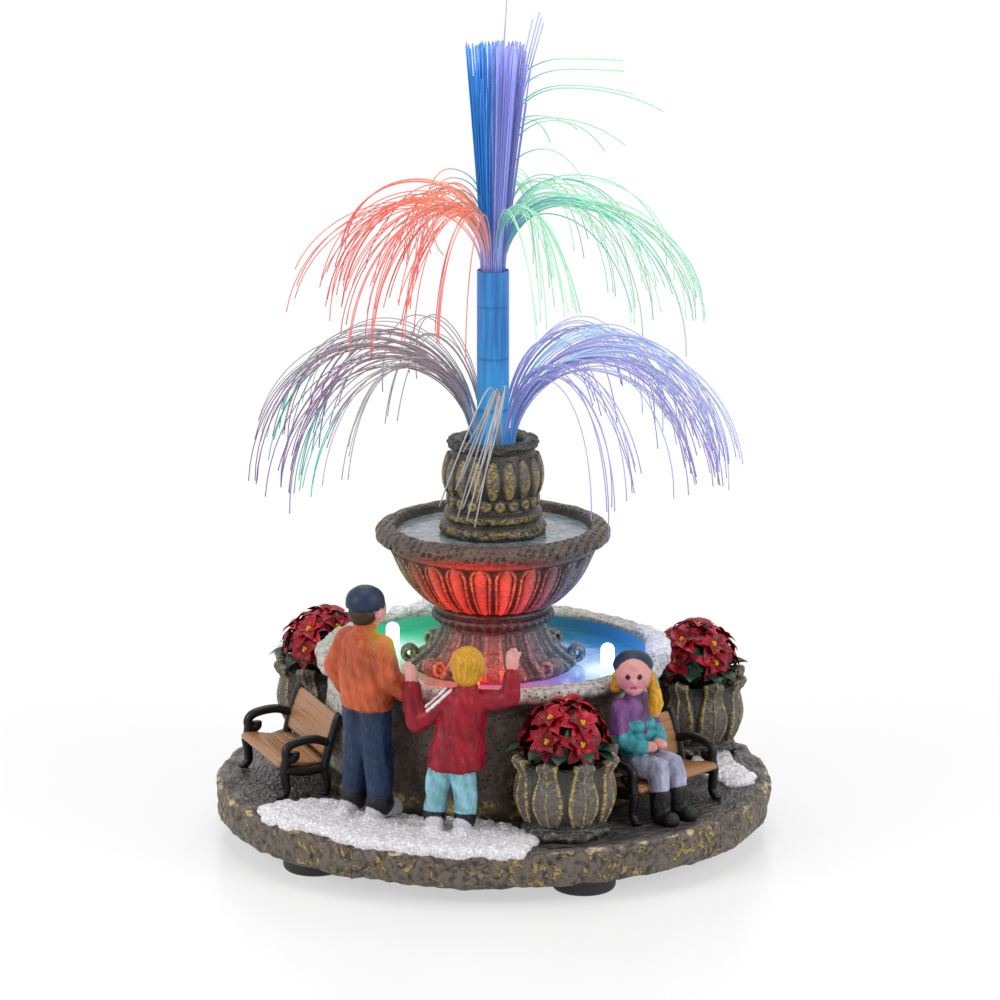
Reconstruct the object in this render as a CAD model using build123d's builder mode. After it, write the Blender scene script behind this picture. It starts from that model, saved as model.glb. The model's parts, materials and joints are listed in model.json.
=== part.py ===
"""Table-top light fountain: a resin village scene with a lit pool, a bowl, a vase and a fibre plume."""

import math
import os
from itertools import pairwise

from build123d import *

os.makedirs("parts", exist_ok=True)

# Clearances shared by the fits
RUN_FIT = 0.05
SET_FIT = 0.15
SIDE_GAP = 0.35
CUT_OVERRUN = 1.0

# Base and feet
PLINTH_RADIUS = 80.0
PLINTH_THICKNESS = 11.0
PLINTH_EDGE = 1.5
FOOT_HEIGHT = 5.0
FOOT_RADIUS = 9.0
FOOT_EDGE = 1.8
FOOT_CIRCLE_RADIUS = 66.0
FOOT_COUNT = 5
FOOT_START_ANGLE = -67.5
CAVITY_RADIUS = 40.0
GROUND_Z = FOOT_HEIGHT + PLINTH_THICKNESS

# Pool
POOL_HEIGHT = 37.3
POOL_RIM_RADIUS = 50.7
POOL_RIM_INNER_RADIUS = 44.2
POOL_RIM_BAND = 3.6
POOL_RIM_EDGE = 1.0
POOL_NECK_RADIUS = 47.2
POOL_NECK_DROP = 7.6
POOL_BULGE_RADIUS = 48.2
POOL_MOULDING_RADIUS = 49.6
POOL_MOULDING_HEIGHT = 3.2
POOL_COVE_HEIGHT = 5.6
POOL_FREEBOARD = 5.0
POOL_WATER_THICKNESS = 2.3
POOL_TOP_Z = GROUND_Z + POOL_HEIGHT
POOL_WATER_Z = POOL_TOP_Z - POOL_FREEBOARD
POOL_LEDGE_Z = POOL_WATER_Z - POOL_WATER_THICKNESS

# Pool lamps: small domes
LED_RADIUS = 2.0
LED_HEIGHT = 10.2
LED_FLANGE_RADIUS = 2.4
LED_FLANGE_HEIGHT = 1.0
POOL_LED_CIRCLE_RADIUS = 33.5
POOL_LED_ANGLES = {"right": -11.7, "left": 150.4, "front": -100.0}
LEAD_RADIUS = 0.55
LEAD_PITCH = 2.54

# Pedestal
WIRE_BORE_RADIUS = 4.0
PEDESTAL_HEIGHT = 18.4
PEDESTAL_FOOT_RADIUS = 23.0
PEDESTAL_FOOT_BAND = 1.4
PEDESTAL_NECK_RADIUS = 14.6
PEDESTAL_NECK_DROP = 5.6
PEDESTAL_WAIST_RADIUS = 16.2
PEDESTAL_WAIST_DROP = 10.2
PEDESTAL_RING_RADIUS = 17.6
PEDESTAL_RING_BAND = 2.6
PEDESTAL_RING_COVE = 1.6
SCROLL_COUNT = 8
SCROLL_RADIUS = 2.9
SCROLL_CIRCLE_RADIUS = 22.6
SCROLL_WIDTH = 5.4
SCROLL_RIB_THICKNESS = 3.0
BOWL_SEAT_Z = POOL_WATER_Z + PEDESTAL_HEIGHT

# Bowl
BOWL_HEIGHT = 23.2
BOWL_FOOT_RADIUS = 15.2
BOWL_BELLY_RADIUS = 28.6
BOWL_BELLY_HEIGHT = 16.6
BOWL_WAIST_RADIUS = 23.6
BOWL_WAIST_HEIGHT = 6.4
BOWL_RIM_RADIUS = 33.2
BOWL_RIM_LIFT = 19.2
BOWL_RIM_BAND = 2.2
BOWL_RIM_INNER_RADIUS = 27.8
BOWL_RIM_EDGE = 1.2
BOWL_FREEBOARD = 2.4
BOWL_WATER_THICKNESS = 1.8
PETAL_COUNT = 24
PETAL_LENGTH = 16.0
PETAL_HALF_WIDTH = 2.9
PETAL_PROUD = 1.0
BOWL_TOP_Z = BOWL_SEAT_Z + BOWL_HEIGHT
BOWL_WATER_Z = BOWL_TOP_Z - BOWL_FREEBOARD
BOWL_LEDGE_Z = BOWL_WATER_Z - BOWL_WATER_THICKNESS

# Vase
VASE_HEIGHT = 27.5
VASE_FOOT_RADIUS = 15.0
VASE_FOOT_BAND = 3.0
VASE_STEP_RADIUS = 12.8
VASE_STEP_HEIGHT = 5.4
VASE_BEAD_HEIGHT = 7.6
VASE_BELLY_RADIUS = 13.6
VASE_BELLY_HEIGHT = 16.0
VASE_NECK_RADIUS = 11.7
VASE_NECK_HEIGHT = 23.4
VASE_RIM_RADIUS = 12.9
VASE_RIM_BAND = 2.4
VASE_MOUTH_RADIUS = 8.6
VASE_FLOOR = 3.5
VASE_CHAMBER_RADIUS = 5.3
VASE_BEAD_COUNT = 20
VASE_BEAD_RADIUS = 1.5
VASE_PANEL_COUNT = 18
VASE_PANEL_LENGTH = 9.0
VASE_PANEL_HALF_WIDTH = 2.0
VASE_PANEL_PROUD = 0.7
VASE_TOP_Z = BOWL_WATER_Z + VASE_HEIGHT

# Fibre plume
FERRULE_HEIGHT = 8.0
FERRULE_DROP = 3.0
SLEEVE_RADIUS = 4.6
SLEEVE_WALL = 0.35
SLEEVE_TOP_Z = 163.6
CORE_DROP = 3.0
CORE_TAIL = 7.5
COLLAR_THICKNESS = 1.2
STRAND_RADIUS = 0.27
STRAND_PITCH = 0.62
STRAND_SIDES = 3
STRAND_STEPS = 4
LOWER_ROW_RADII = (7.1, 6.45, 5.8, 5.15)
LOWER_RISE = (1.6, 2.2, 2.8, 3.4)
LOWER_LIFT_RADII = (20.0, 22.7, 25.3, 28.0)
LOWER_FALL_RADII = (33.0, 35.5, 38.0, 40.5)
LOWER_LIFT_TURN = 86.0
LOWER_FALL_TURNS = (78.0, 84.0, 70.0, 81.0)
LOWER_SECTORS = {"right": (-62.0, 62.0), "left": (118.0, 238.0), "front": (254.0, 270.0)}
FRONT_ROWS = 2
UPPER_ROW_RADII = (3.95, 3.3)
UPPER_RISE = (4.0, 6.0)
UPPER_LIFT_RADII = (17.0, 21.5)
UPPER_FALL_RADII = (30.0, 35.0)
UPPER_LIFT_TURN = 86.0
UPPER_FALL_TURNS = (84.0, 72.0, 88.0, 78.0)
UPPER_SECTORS = {"right": (-80.0, 80.0), "left": (100.0, 260.0)}
BRUSH_RING_PITCH = 0.58
BRUSH_RINGS = 4
BRUSH_RING_STRANDS = 6
BRUSH_STRAIGHT_HEIGHT = 14.0
BRUSH_TOP_RADIUS = 9.0
BRUSH_HEIGHTS = (64.0, 58.0, 66.0, 61.0)
BRUSH_CENTRE_HEIGHT = 82.0

# Plume lamp under the fibres
HOLDER_HEIGHT = 3.0
PLUME_LED_HEIGHT = 6.8

# Planters
PLANTER_CIRCLE_RADIUS = 63.4
PLANTER_ANGLES = {"front": -71.6, "right": 21.5, "left": 141.5}
PLANTER_HEIGHT = 22.0
PLANTER_FOOT_RADIUS = 12.4
PLANTER_FOOT_BAND = 2.6
PLANTER_WAIST_RADIUS = 11.2
PLANTER_WAIST_HEIGHT = 5.4
PLANTER_BELLY_RADIUS = 13.0
PLANTER_BELLY_HEIGHT = 12.6
PLANTER_NECK_RADIUS = 12.4
PLANTER_NECK_HEIGHT = 18.4
PLANTER_RIM_RADIUS = 14.0
PLANTER_RIM_BAND = 1.6
PLANTER_MOUTH_RADIUS = 11.4
PLANTER_SOIL_DROP = 2.6
PLANTER_LEAF_COUNT = 8
PLANTER_LEAF_LENGTH = 12.0
PLANTER_LEAF_HALF_WIDTH = 4.0
PLANTER_LEAF_PROUD = 0.7
FOLIAGE_RADIUS = 11.2
FOLIAGE_LIFT = 6.5
LEAF_COUNT = 9
LEAF_LENGTH = 6.8
LEAF_WIDTH = 5.6
LEAF_THICKNESS = 0.8
LEAF_TILT = 8.0
LEAF_DROP = 1.5
BLOOM_PETALS = 7
BLOOM_RADIUS = 5.4
BLOOM_PETAL_WIDTH = 3.0
BLOOM_THICKNESS = 0.7
BLOOM_BUTTON_RADIUS = 1.0
BLOOM_LIFT = 0.25
BLOOM_RINGS = ((1, 8.0), (6, 57.0))

# Benches
BENCH_LENGTH = 36.7
BENCH_END_THICKNESS = 2.0
BENCH_LEG_SPREAD = 12.4
BENCH_SEAT_HEIGHT = 10.7
BENCH_ARM_HEIGHT = 17.0
BENCH_BACK_HEIGHT = 23.5
BENCH_BACK_RAKE = 3.2
BENCH_STROKE = 2.2
BENCH_SCROLL_RADIUS = 2.6
BENCH_BOARD = 1.6
BENCH_BACK_BOARD_HEIGHT = 10.5
BENCH_SEAT_EDGE = 0.6
BENCH_CIRCLE_RADII = {"left": 59.7, "right": 58.2}
BENCH_ANGLES = {"left": (189.5, 200.5), "right": (-37.7, -42.0)}

# Snow
SNOW_THICKNESS = 2.4
SNOW_EDGE = 0.9
RIM_SNOW_THICKNESS = 1.5
RIM_SNOW_WIDTH = 4.2
RIM_SNOW_SECTORS = {"right": (-8.0, 24.0), "left": (104.0, 126.0)}
SNOW_FRONT_SHARES = ((-151, 0.82), (-144, 0.93), (-133, 0.965), (-121, 0.93), (-109, 0.96), (-98, 0.965),
                     (-90, 0.93), (-83, 0.91), (-88, 0.80), (-95, 0.72), (-104, 0.66), (-114, 0.655),
                     (-127, 0.66), (-138, 0.655), (-146, 0.68))
SNOW_RIGHT_SHARES = ((0, 0.71), (-9, 0.72), (-12, 0.83), (-9, 0.95), (0, 0.965), (7, 0.92), (5, 0.79))

# Figures: joints are shares of the figure's height, as forward, left and up
BOY_HEIGHT = 65.8
BOY_CIRCLE_RADIUS = 59.4
BOY_ANGLES = (-126.4, 45.0)
CHILD_HEIGHT = 52.6
CHILD_CIRCLE_RADIUS = 63.6
CHILD_ANGLES = (-100.8, 74.0)
GIRL_HEIGHT = 46.5
GIRL_BENCH_OFFSET = -7.0
GIRL_SEAT_GAP = 0.2

# Electrics in the base
COVER_RADIUS = 46.0
COVER_THICKNESS = 2.4
COVER_INSET = 0.4
COVER_SCREW_CIRCLE_RADIUS = 43.0
COVER_SCREW_COUNT = 4
SCREW_SHANK_RADIUS = 1.2
SCREW_LENGTH = 6.0
SCREW_HEAD_RADIUS = 2.3
SCREW_HEAD_HEIGHT = 1.1
SCREW_SLOT = 0.6
CELL_RADIUS = 7.25
CELL_LENGTH = 50.5
CELL_NUB_RADIUS = 2.75
CELL_NUB_LENGTH = 1.5
CELL_PITCH = 15.1
CELL_COUNT = 3
CELL_FLOOR_GAP = 0.4
TRAY_LENGTH = 56.8
TRAY_WIDTH = 46.0
TRAY_WALL = 1.4
TRAY_HEIGHT = 17.6
CONTACT_THICKNESS = 0.4
CONTACT_WIDTH = 9.0
CONTACT_HEIGHT = 11.0
DOOR_LENGTH = 54.0
DOOR_WIDTH = 42.0
DOOR_GAP = 0.3
HINGE_PIN_RADIUS = 0.6
HINGE_PIN_LENGTH = 7.0
FINGER_NOTCH_RADIUS = 5.0
POST_HEIGHT = 4.2
POST_RADIUS = 2.6
POST_SPREAD_X = 40.0
POST_SPREAD_Y = 30.0
BOARD_RADIUS = 36.5
BOARD_THICKNESS = 1.6
BOARD_SCREW_RADIUS = 1.0
BOARD_SCREW_LENGTH = 3.4
BOARD_SCREW_HEAD_RADIUS = 2.0
BOARD_SCREW_HEAD_HEIGHT = 1.4
SWITCH_Y = -33.0
SWITCH_LENGTH = 15.0
SWITCH_WIDTH = 7.4
SWITCH_HEIGHT = 5.6
SWITCH_WALL = 1.0
SWITCH_TRAVEL = 4.0
SLIDER_LENGTH = 7.0
SLIDER_HEIGHT = 2.4
KNOB_LENGTH = 3.6
KNOB_WIDTH = 3.0
KNOB_DROP = 3.6

COVER_Z = FOOT_HEIGHT + COVER_INSET
TRAY_Z = COVER_Z + COVER_THICKNESS
TRAY_TOP_Z = TRAY_Z + TRAY_HEIGHT
BOARD_Z = TRAY_TOP_Z + POST_HEIGHT
BOARD_TOP_Z = BOARD_Z + BOARD_THICKNESS
CELL_Z = TRAY_Z + CELL_FLOOR_GAP + CELL_RADIUS
HINGE_Y = DOOR_WIDTH / 2 - COVER_THICKNESS / 2
HINGE_Z = COVER_Z + COVER_THICKNESS / 2
LED_Z = POOL_LEDGE_Z - LED_FLANGE_HEIGHT
CORE_TOP_Z = SLEEVE_TOP_Z - CORE_DROP
FERRULE_TOP_Z = VASE_TOP_Z - FERRULE_DROP
FERRULE_Z = FERRULE_TOP_Z - FERRULE_HEIGHT
HOLDER_Z = BOWL_WATER_Z + VASE_FLOOR
PLUME_LED_Z = HOLDER_Z + HOLDER_HEIGHT


def save(piece, name):
    """Label a finished piece and write its STEP file."""
    piece.part.label = name
    export_step(piece.part, f"parts/{name}.step")


def around(radius, angle):
    """The point at a radius and an angle in degrees round the fountain's axis."""
    return radius * math.cos(math.radians(angle)), radius * math.sin(math.radians(angle))


def lemon(length, half_width):
    """A pointed lobe along Z, the raised petal of the bowl, the vase and the planters, its seam turned inwards."""
    with BuildPart() as lobe:
        with BuildSketch(Plane.XZ):
            with BuildLine():
                ends = ((0, -length / 2), (0, length / 2))
                ThreePointArc(ends[0], (-half_width, 0), ends[1])
                Line(ends[1], ends[0])
            make_face()
        revolve(axis=Axis.Z)
    return lobe.part


def limb(joints, scale):
    """Round joints with tapering lengths between them; each joint is a place and a radius, as shares."""
    for (start, start_radius), (end, end_radius) in pairwise(joints):
        run = (Vector(end) - Vector(start)) * scale
        with Locations(Plane(origin=Vector(start) * scale, z_dir=run).location):
            Cone(start_radius * scale, end_radius * scale, run.length, align=(Align.CENTER, Align.CENTER, Align.MIN))
    for place, radius in joints:
        with Locations(Vector(place) * scale):
            Sphere(radius * scale)


def body(levels, scale):
    """A trunk lofted through ellipses, each a height, a place forward and left, and two half widths."""
    rings = []
    for height, forward, left, depth, width in levels:
        with BuildSketch(Plane.XY.offset(height * scale)) as level:
            with Locations((forward * scale, left * scale)):
                Ellipse(depth * scale, width * scale)
        rings.append(level.sketch)
    loft(rings)


def boot(heel, toe, side, radius, scale):
    """A shoe with a flat sole: two round ends joined, cut level with the ground."""
    limb((((heel, side, radius * 0.55), radius * 0.94), ((toe, side, radius * 0.5), radius)), scale)


# Base
with BuildPart() as base_plinth:
    with BuildSketch(Plane.XY.offset(FOOT_HEIGHT)):
        Circle(PLINTH_RADIUS)
    extrude(amount=PLINTH_THICKNESS)
    fillet(base_plinth.edges(), PLINTH_EDGE)
    with BuildSketch(Plane.XY.offset(FOOT_HEIGHT)):
        Circle(CAVITY_RADIUS)
    extrude(amount=PLINTH_THICKNESS, mode=Mode.SUBTRACT)
    with BuildSketch(Plane.XY.offset(FOOT_HEIGHT)):
        Circle(COVER_RADIUS + SET_FIT)
    extrude(amount=COVER_INSET + COVER_THICKNESS, mode=Mode.SUBTRACT)
    with BuildSketch(Plane.XY.offset(TRAY_Z)):
        with PolarLocations(COVER_SCREW_CIRCLE_RADIUS, COVER_SCREW_COUNT, 45):
            Circle(SCREW_SHANK_RADIUS + RUN_FIT)
    extrude(amount=SCREW_LENGTH, mode=Mode.SUBTRACT)
save(base_plinth, "base_plinth")

with BuildPart() as rubber_feet:
    with BuildSketch():
        with PolarLocations(FOOT_CIRCLE_RADIUS, FOOT_COUNT, FOOT_START_ANGLE):
            Circle(FOOT_RADIUS)
    extrude(amount=FOOT_HEIGHT)
    fillet(rubber_feet.edges().group_by(Axis.Z)[0], FOOT_EDGE)
save(rubber_feet, "rubber_feet")

# Pool
with BuildPart() as pool_basin:
    with BuildSketch(Plane.XZ):
        with BuildLine():
            foot = Line((CAVITY_RADIUS, GROUND_Z), (POOL_MOULDING_RADIUS, GROUND_Z))
            band = Line(foot @ 1, (POOL_MOULDING_RADIUS, GROUND_Z + POOL_MOULDING_HEIGHT))
            cove = RadiusArc(band @ 1, (POOL_NECK_RADIUS, GROUND_Z + POOL_COVE_HEIGHT), -POOL_COVE_HEIGHT)
            neck = (POOL_NECK_RADIUS, POOL_TOP_Z - POOL_NECK_DROP)
            wall = ThreePointArc(cove @ 1, (POOL_BULGE_RADIUS, GROUND_Z + POOL_HEIGHT / 2), neck)
            flare = RadiusArc(wall @ 1, (POOL_RIM_RADIUS, POOL_TOP_Z - POOL_RIM_BAND), -POOL_NECK_DROP)
            lip = Line(flare @ 1, (POOL_RIM_RADIUS, POOL_TOP_Z))
            top = Line(lip @ 1, (POOL_RIM_INNER_RADIUS, POOL_TOP_Z))
            inside = Line(top @ 1, (POOL_RIM_INNER_RADIUS, POOL_LEDGE_Z))
            ledge = Line(inside @ 1, (CAVITY_RADIUS, POOL_LEDGE_Z))
            Line(ledge @ 1, foot @ 0)
        make_face()
    revolve(axis=Axis.Z)
    fillet(pool_basin.edges().group_by(Axis.Z)[-1], POOL_RIM_EDGE)
save(pool_basin, "pool_basin")

with BuildPart() as pool_water:
    with BuildSketch(Plane.XY.offset(POOL_LEDGE_Z)):
        Circle(POOL_RIM_INNER_RADIUS - SET_FIT)
        Circle(WIRE_BORE_RADIUS, mode=Mode.SUBTRACT)
        for angle in POOL_LED_ANGLES.values():
            with Locations(around(POOL_LED_CIRCLE_RADIUS, angle)):
                Circle(LED_RADIUS + SET_FIT, mode=Mode.SUBTRACT)
    extrude(amount=POOL_WATER_THICKNESS)
save(pool_water, "pool_water")

for side, angle in POOL_LED_ANGLES.items():
    with BuildPart() as pool_led:
        with BuildSketch(Plane.XY.offset(LED_Z)):
            with Locations(around(POOL_LED_CIRCLE_RADIUS, angle)):
                Circle(LED_FLANGE_RADIUS)
        extrude(amount=LED_FLANGE_HEIGHT)
        with BuildSketch(Plane.XY.offset(POOL_LEDGE_Z)):
            with Locations(around(POOL_LED_CIRCLE_RADIUS, angle)):
                Circle(LED_RADIUS)
        extrude(amount=LED_HEIGHT)
        fillet(pool_led.edges().group_by(Axis.Z)[-1], LED_RADIUS - RUN_FIT)
    save(pool_led, f"pool_led_{side}")

with BuildPart() as pool_led_leads:
    with BuildSketch(Plane.XY.offset(BOARD_TOP_Z)):
        for angle in POOL_LED_ANGLES.values():
            with Locations(around(POOL_LED_CIRCLE_RADIUS, angle)):
                with GridLocations(LEAD_PITCH, 0, 2, 1):
                    Circle(LEAD_RADIUS)
    extrude(amount=LED_Z - BOARD_TOP_Z)
save(pool_led_leads, "pool_led_leads")

# Pedestal: a flared column with scrolled ribs
with BuildPart() as pedestal:
    with BuildSketch(Plane.XZ):
        with BuildLine():
            foot = Line((0, POOL_WATER_Z), (PEDESTAL_FOOT_RADIUS, POOL_WATER_Z))
            band = Line(foot @ 1, (PEDESTAL_FOOT_RADIUS, POOL_WATER_Z + PEDESTAL_FOOT_BAND))
            flare = ThreePointArc(
                band @ 1,
                (PEDESTAL_WAIST_RADIUS, BOWL_SEAT_Z - PEDESTAL_WAIST_DROP),
                (PEDESTAL_NECK_RADIUS, BOWL_SEAT_Z - PEDESTAL_NECK_DROP),
            )
            cove = Line(flare @ 1, (PEDESTAL_RING_RADIUS, BOWL_SEAT_Z - PEDESTAL_RING_BAND - PEDESTAL_RING_COVE))
            ring = RadiusArc(cove @ 1, (PEDESTAL_RING_RADIUS, BOWL_SEAT_Z - PEDESTAL_RING_COVE), PEDESTAL_RING_BAND)
            top = Line(ring @ 1, (BOWL_FOOT_RADIUS, BOWL_SEAT_Z))
            Polyline(top @ 1, (0, BOWL_SEAT_Z), foot @ 0)
        make_face()
    revolve(axis=Axis.Z)
    with BuildSketch(Plane.XZ) as scroll:
        with BuildLine() as rib:
            scroll_top = (SCROLL_CIRCLE_RADIUS, POOL_WATER_Z + 2 * SCROLL_RADIUS - SCROLL_RIB_THICKNESS / 2)
            ThreePointArc(
                scroll_top,
                (PEDESTAL_WAIST_RADIUS, BOWL_SEAT_Z - PEDESTAL_WAIST_DROP),
                (PEDESTAL_NECK_RADIUS, BOWL_SEAT_Z - PEDESTAL_NECK_DROP),
            )
        trace(rib.line, SCROLL_RIB_THICKNESS)
        with Locations((SCROLL_CIRCLE_RADIUS, POOL_WATER_Z + SCROLL_RADIUS)):
            Circle(SCROLL_RADIUS)
    scroll_rib = extrude(scroll.sketch, amount=SCROLL_WIDTH / 2, both=True, mode=Mode.PRIVATE)
    with PolarLocations(0, SCROLL_COUNT, -90):
        add(scroll_rib)
    with BuildSketch(Plane.XY.offset(POOL_WATER_Z)):
        Circle(WIRE_BORE_RADIUS)
    extrude(amount=PEDESTAL_HEIGHT, mode=Mode.SUBTRACT)
save(pedestal, "pedestal")

# Bowl: raised petals round a deep cup
petal = lemon(PETAL_LENGTH, PETAL_HALF_WIDTH)
petal_low = Vector(BOWL_FOOT_RADIUS, 0, BOWL_SEAT_Z)
petal_high = Vector(BOWL_BELLY_RADIUS, 0, BOWL_SEAT_Z + BOWL_BELLY_HEIGHT)
petal_tilt = math.degrees(math.atan2(petal_high.X - petal_low.X, petal_high.Z - petal_low.Z))
petal_inset = PETAL_HALF_WIDTH - PETAL_PROUD
with BuildPart() as bowl:
    with BuildSketch(Plane.XZ):
        with BuildLine():
            foot = Line((0, BOWL_SEAT_Z), (BOWL_FOOT_RADIUS, BOWL_SEAT_Z))
            cup = ThreePointArc(
                foot @ 1,
                (BOWL_WAIST_RADIUS, BOWL_SEAT_Z + BOWL_WAIST_HEIGHT),
                (BOWL_BELLY_RADIUS, BOWL_SEAT_Z + BOWL_BELLY_HEIGHT),
            )
            under = Line(cup @ 1, (BOWL_RIM_RADIUS, BOWL_SEAT_Z + BOWL_RIM_LIFT))
            lip = Line(under @ 1, (BOWL_RIM_RADIUS, BOWL_SEAT_Z + BOWL_RIM_LIFT + BOWL_RIM_BAND))
            top = Line(lip @ 1, (BOWL_RIM_INNER_RADIUS + BOWL_RIM_EDGE, BOWL_TOP_Z))
            inside = Line(top @ 1, (BOWL_RIM_INNER_RADIUS, BOWL_TOP_Z))
            well = Line(inside @ 1, (BOWL_RIM_INNER_RADIUS, BOWL_LEDGE_Z))
            Polyline(well @ 1, (0, BOWL_LEDGE_Z), foot @ 0)
        make_face()
    revolve(axis=Axis.Z)
    middle = (BOWL_WAIST_RADIUS - petal_inset * math.cos(math.radians(petal_tilt)),
              BOWL_SEAT_Z + BOWL_WAIST_HEIGHT + petal_inset * math.sin(math.radians(petal_tilt)))
    with Locations(*[Rot(0, 0, 360 * k / PETAL_COUNT) * Pos(middle[0], 0, middle[1]) * Rot(0, petal_tilt, 0)
                     for k in range(PETAL_COUNT)]):
        add(petal)
    with BuildSketch(Plane.XY.offset(BOWL_SEAT_Z)):
        Circle(WIRE_BORE_RADIUS)
    extrude(amount=BOWL_HEIGHT, mode=Mode.SUBTRACT)
    with BuildSketch(Plane.XY.offset(BOWL_SEAT_Z)):
        Circle(BOWL_RIM_RADIUS)
    extrude(amount=-PETAL_LENGTH, mode=Mode.SUBTRACT)
save(bowl, "bowl")

with BuildPart() as bowl_water:
    with BuildSketch(Plane.XY.offset(BOWL_LEDGE_Z)):
        Circle(BOWL_RIM_INNER_RADIUS - SET_FIT)
        Circle(WIRE_BORE_RADIUS, mode=Mode.SUBTRACT)
    extrude(amount=BOWL_WATER_THICKNESS)
save(bowl_water, "bowl_water")

# Vase: beads on the foot, panels round the belly
panel = lemon(VASE_PANEL_LENGTH, VASE_PANEL_HALF_WIDTH)
with BuildPart() as vase:
    with BuildSketch(Plane.XZ):
        with BuildLine():
            foot = Line((WIRE_BORE_RADIUS, BOWL_WATER_Z), (VASE_FOOT_RADIUS, BOWL_WATER_Z))
            band = Line(foot @ 1, (VASE_FOOT_RADIUS, BOWL_WATER_Z + VASE_FOOT_BAND))
            step = Line(band @ 1, (VASE_STEP_RADIUS, BOWL_WATER_Z + VASE_STEP_HEIGHT))
            belly = Polyline(
                step @ 1,
                (VASE_BELLY_RADIUS, BOWL_WATER_Z + VASE_BELLY_HEIGHT),
                (VASE_NECK_RADIUS, BOWL_WATER_Z + VASE_NECK_HEIGHT),
            )
            flare = Line(belly @ 1, (VASE_RIM_RADIUS, VASE_TOP_Z - VASE_RIM_BAND))
            lip = Line(flare @ 1, (VASE_RIM_RADIUS, VASE_TOP_Z))
            top = Line(lip @ 1, (VASE_MOUTH_RADIUS, VASE_TOP_Z))
            mouth = Line(top @ 1, (VASE_MOUTH_RADIUS, FERRULE_Z))
            seat = Line(mouth @ 1, (VASE_CHAMBER_RADIUS, FERRULE_Z))
            chamber = Line(seat @ 1, (VASE_CHAMBER_RADIUS, HOLDER_Z))
            floor = Line(chamber @ 1, (WIRE_BORE_RADIUS, HOLDER_Z))
            Line(floor @ 1, foot @ 0)
        make_face()
    revolve(axis=Axis.Z)
    bead_circle = VASE_STEP_RADIUS - VASE_BEAD_RADIUS / 4
    with PolarLocations(bead_circle, VASE_BEAD_COUNT):
        with Locations((0, 0, BOWL_WATER_Z + VASE_BEAD_HEIGHT)):
            Sphere(VASE_BEAD_RADIUS)
    panel_circle = VASE_BELLY_RADIUS + VASE_PANEL_PROUD - VASE_PANEL_HALF_WIDTH
    with PolarLocations(panel_circle, VASE_PANEL_COUNT, -90):
        with Locations((0, 0, BOWL_WATER_Z + VASE_BELLY_HEIGHT)):
            add(panel)
save(vase, "vase")

# Plume lamp, ferrule, core and sleeve
with BuildPart() as plume_led_holder:
    with BuildSketch(Plane.XY.offset(HOLDER_Z)):
        Circle(VASE_CHAMBER_RADIUS - SET_FIT)
        Circle(LED_RADIUS, mode=Mode.SUBTRACT)
    extrude(amount=HOLDER_HEIGHT)
save(plume_led_holder, "plume_led_holder")

with BuildPart() as plume_led:
    with BuildSketch(Plane.XY.offset(PLUME_LED_Z)):
        Circle(LED_FLANGE_RADIUS)
    extrude(amount=LED_FLANGE_HEIGHT)
    with BuildSketch(Plane.XY.offset(PLUME_LED_Z)):
        Circle(LED_RADIUS)
    extrude(amount=PLUME_LED_HEIGHT)
    fillet(plume_led.edges().group_by(Axis.Z)[-1], LED_RADIUS - RUN_FIT)
save(plume_led, "plume_led")

with BuildPart() as plume_leads:
    with BuildSketch(Plane.XY.offset(BOARD_TOP_Z)):
        with GridLocations(LEAD_PITCH, 0, 2, 1):
            Circle(LEAD_RADIUS)
    extrude(amount=PLUME_LED_Z - BOARD_TOP_Z)
save(plume_leads, "plume_leads")

with BuildPart() as fibre_ferrule:
    with BuildSketch(Plane.XY.offset(FERRULE_Z)):
        Circle(VASE_MOUTH_RADIUS - SET_FIT)
        Circle(SLEEVE_RADIUS + RUN_FIT, mode=Mode.SUBTRACT)
    extrude(amount=FERRULE_HEIGHT)
save(fibre_ferrule, "fibre_ferrule")

sleeve_bore = SLEEVE_RADIUS - SLEEVE_WALL
with BuildPart() as plume_sleeve:
    with BuildSketch(Plane.XY.offset(FERRULE_Z)):
        Circle(SLEEVE_RADIUS)
        Circle(sleeve_bore, mode=Mode.SUBTRACT)
    extrude(amount=SLEEVE_TOP_Z - FERRULE_Z)
save(plume_sleeve, "plume_sleeve")

core_z = FERRULE_Z - FERRULE_DROP + SIDE_GAP
with BuildPart() as fibre_core:
    with BuildSketch(Plane.XY.offset(core_z)):
        Circle(sleeve_bore - RUN_FIT)
    extrude(amount=CORE_TOP_Z - core_z)
save(fibre_core, "fibre_core")


def arch(root_radius, root_z, rise, lift_radius, lift_turn, fall_radius, fall_turn):
    """Points of a fibre that rises from its collar, bends out and falls, in the XZ plane."""
    start = (root_radius, root_z)
    points = [start, (root_radius, root_z + COLLAR_THICKNESS + rise)]
    heading = 90.0
    for radius, turn in ((lift_radius, lift_turn), (fall_radius, fall_turn)):
        chord = 2 * radius * math.sin(math.radians(turn / STRAND_STEPS / 2))
        for _ in range(STRAND_STEPS):
            heading -= turn / STRAND_STEPS / 2
            last = points[-1]
            step = around(chord, heading)
            points.append((last[0] + step[0], last[1] + step[1]))
            heading -= turn / STRAND_STEPS / 2
    return points


def strand(points):
    """One fibre swept along its points, three-sided."""
    with BuildPart() as fibre:
        with BuildLine(Plane.XZ):
            Polyline(*points)
        with BuildSketch(Plane.XY.offset(points[0][1])):
            with Locations((points[0][0], 0)):
                RegularPolygon(STRAND_RADIUS, STRAND_SIDES)
        sweep(transition=Transition.RIGHT)
    return fibre.part


def spread(radius, sector):
    """Angles across a sector, one strand pitch apart at this radius."""
    count = int(math.radians(sector[1] - sector[0]) * radius / STRAND_PITCH)
    return [sector[0] + (sector[1] - sector[0]) * (k + 0.5) / count for k in range(count)]


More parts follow.
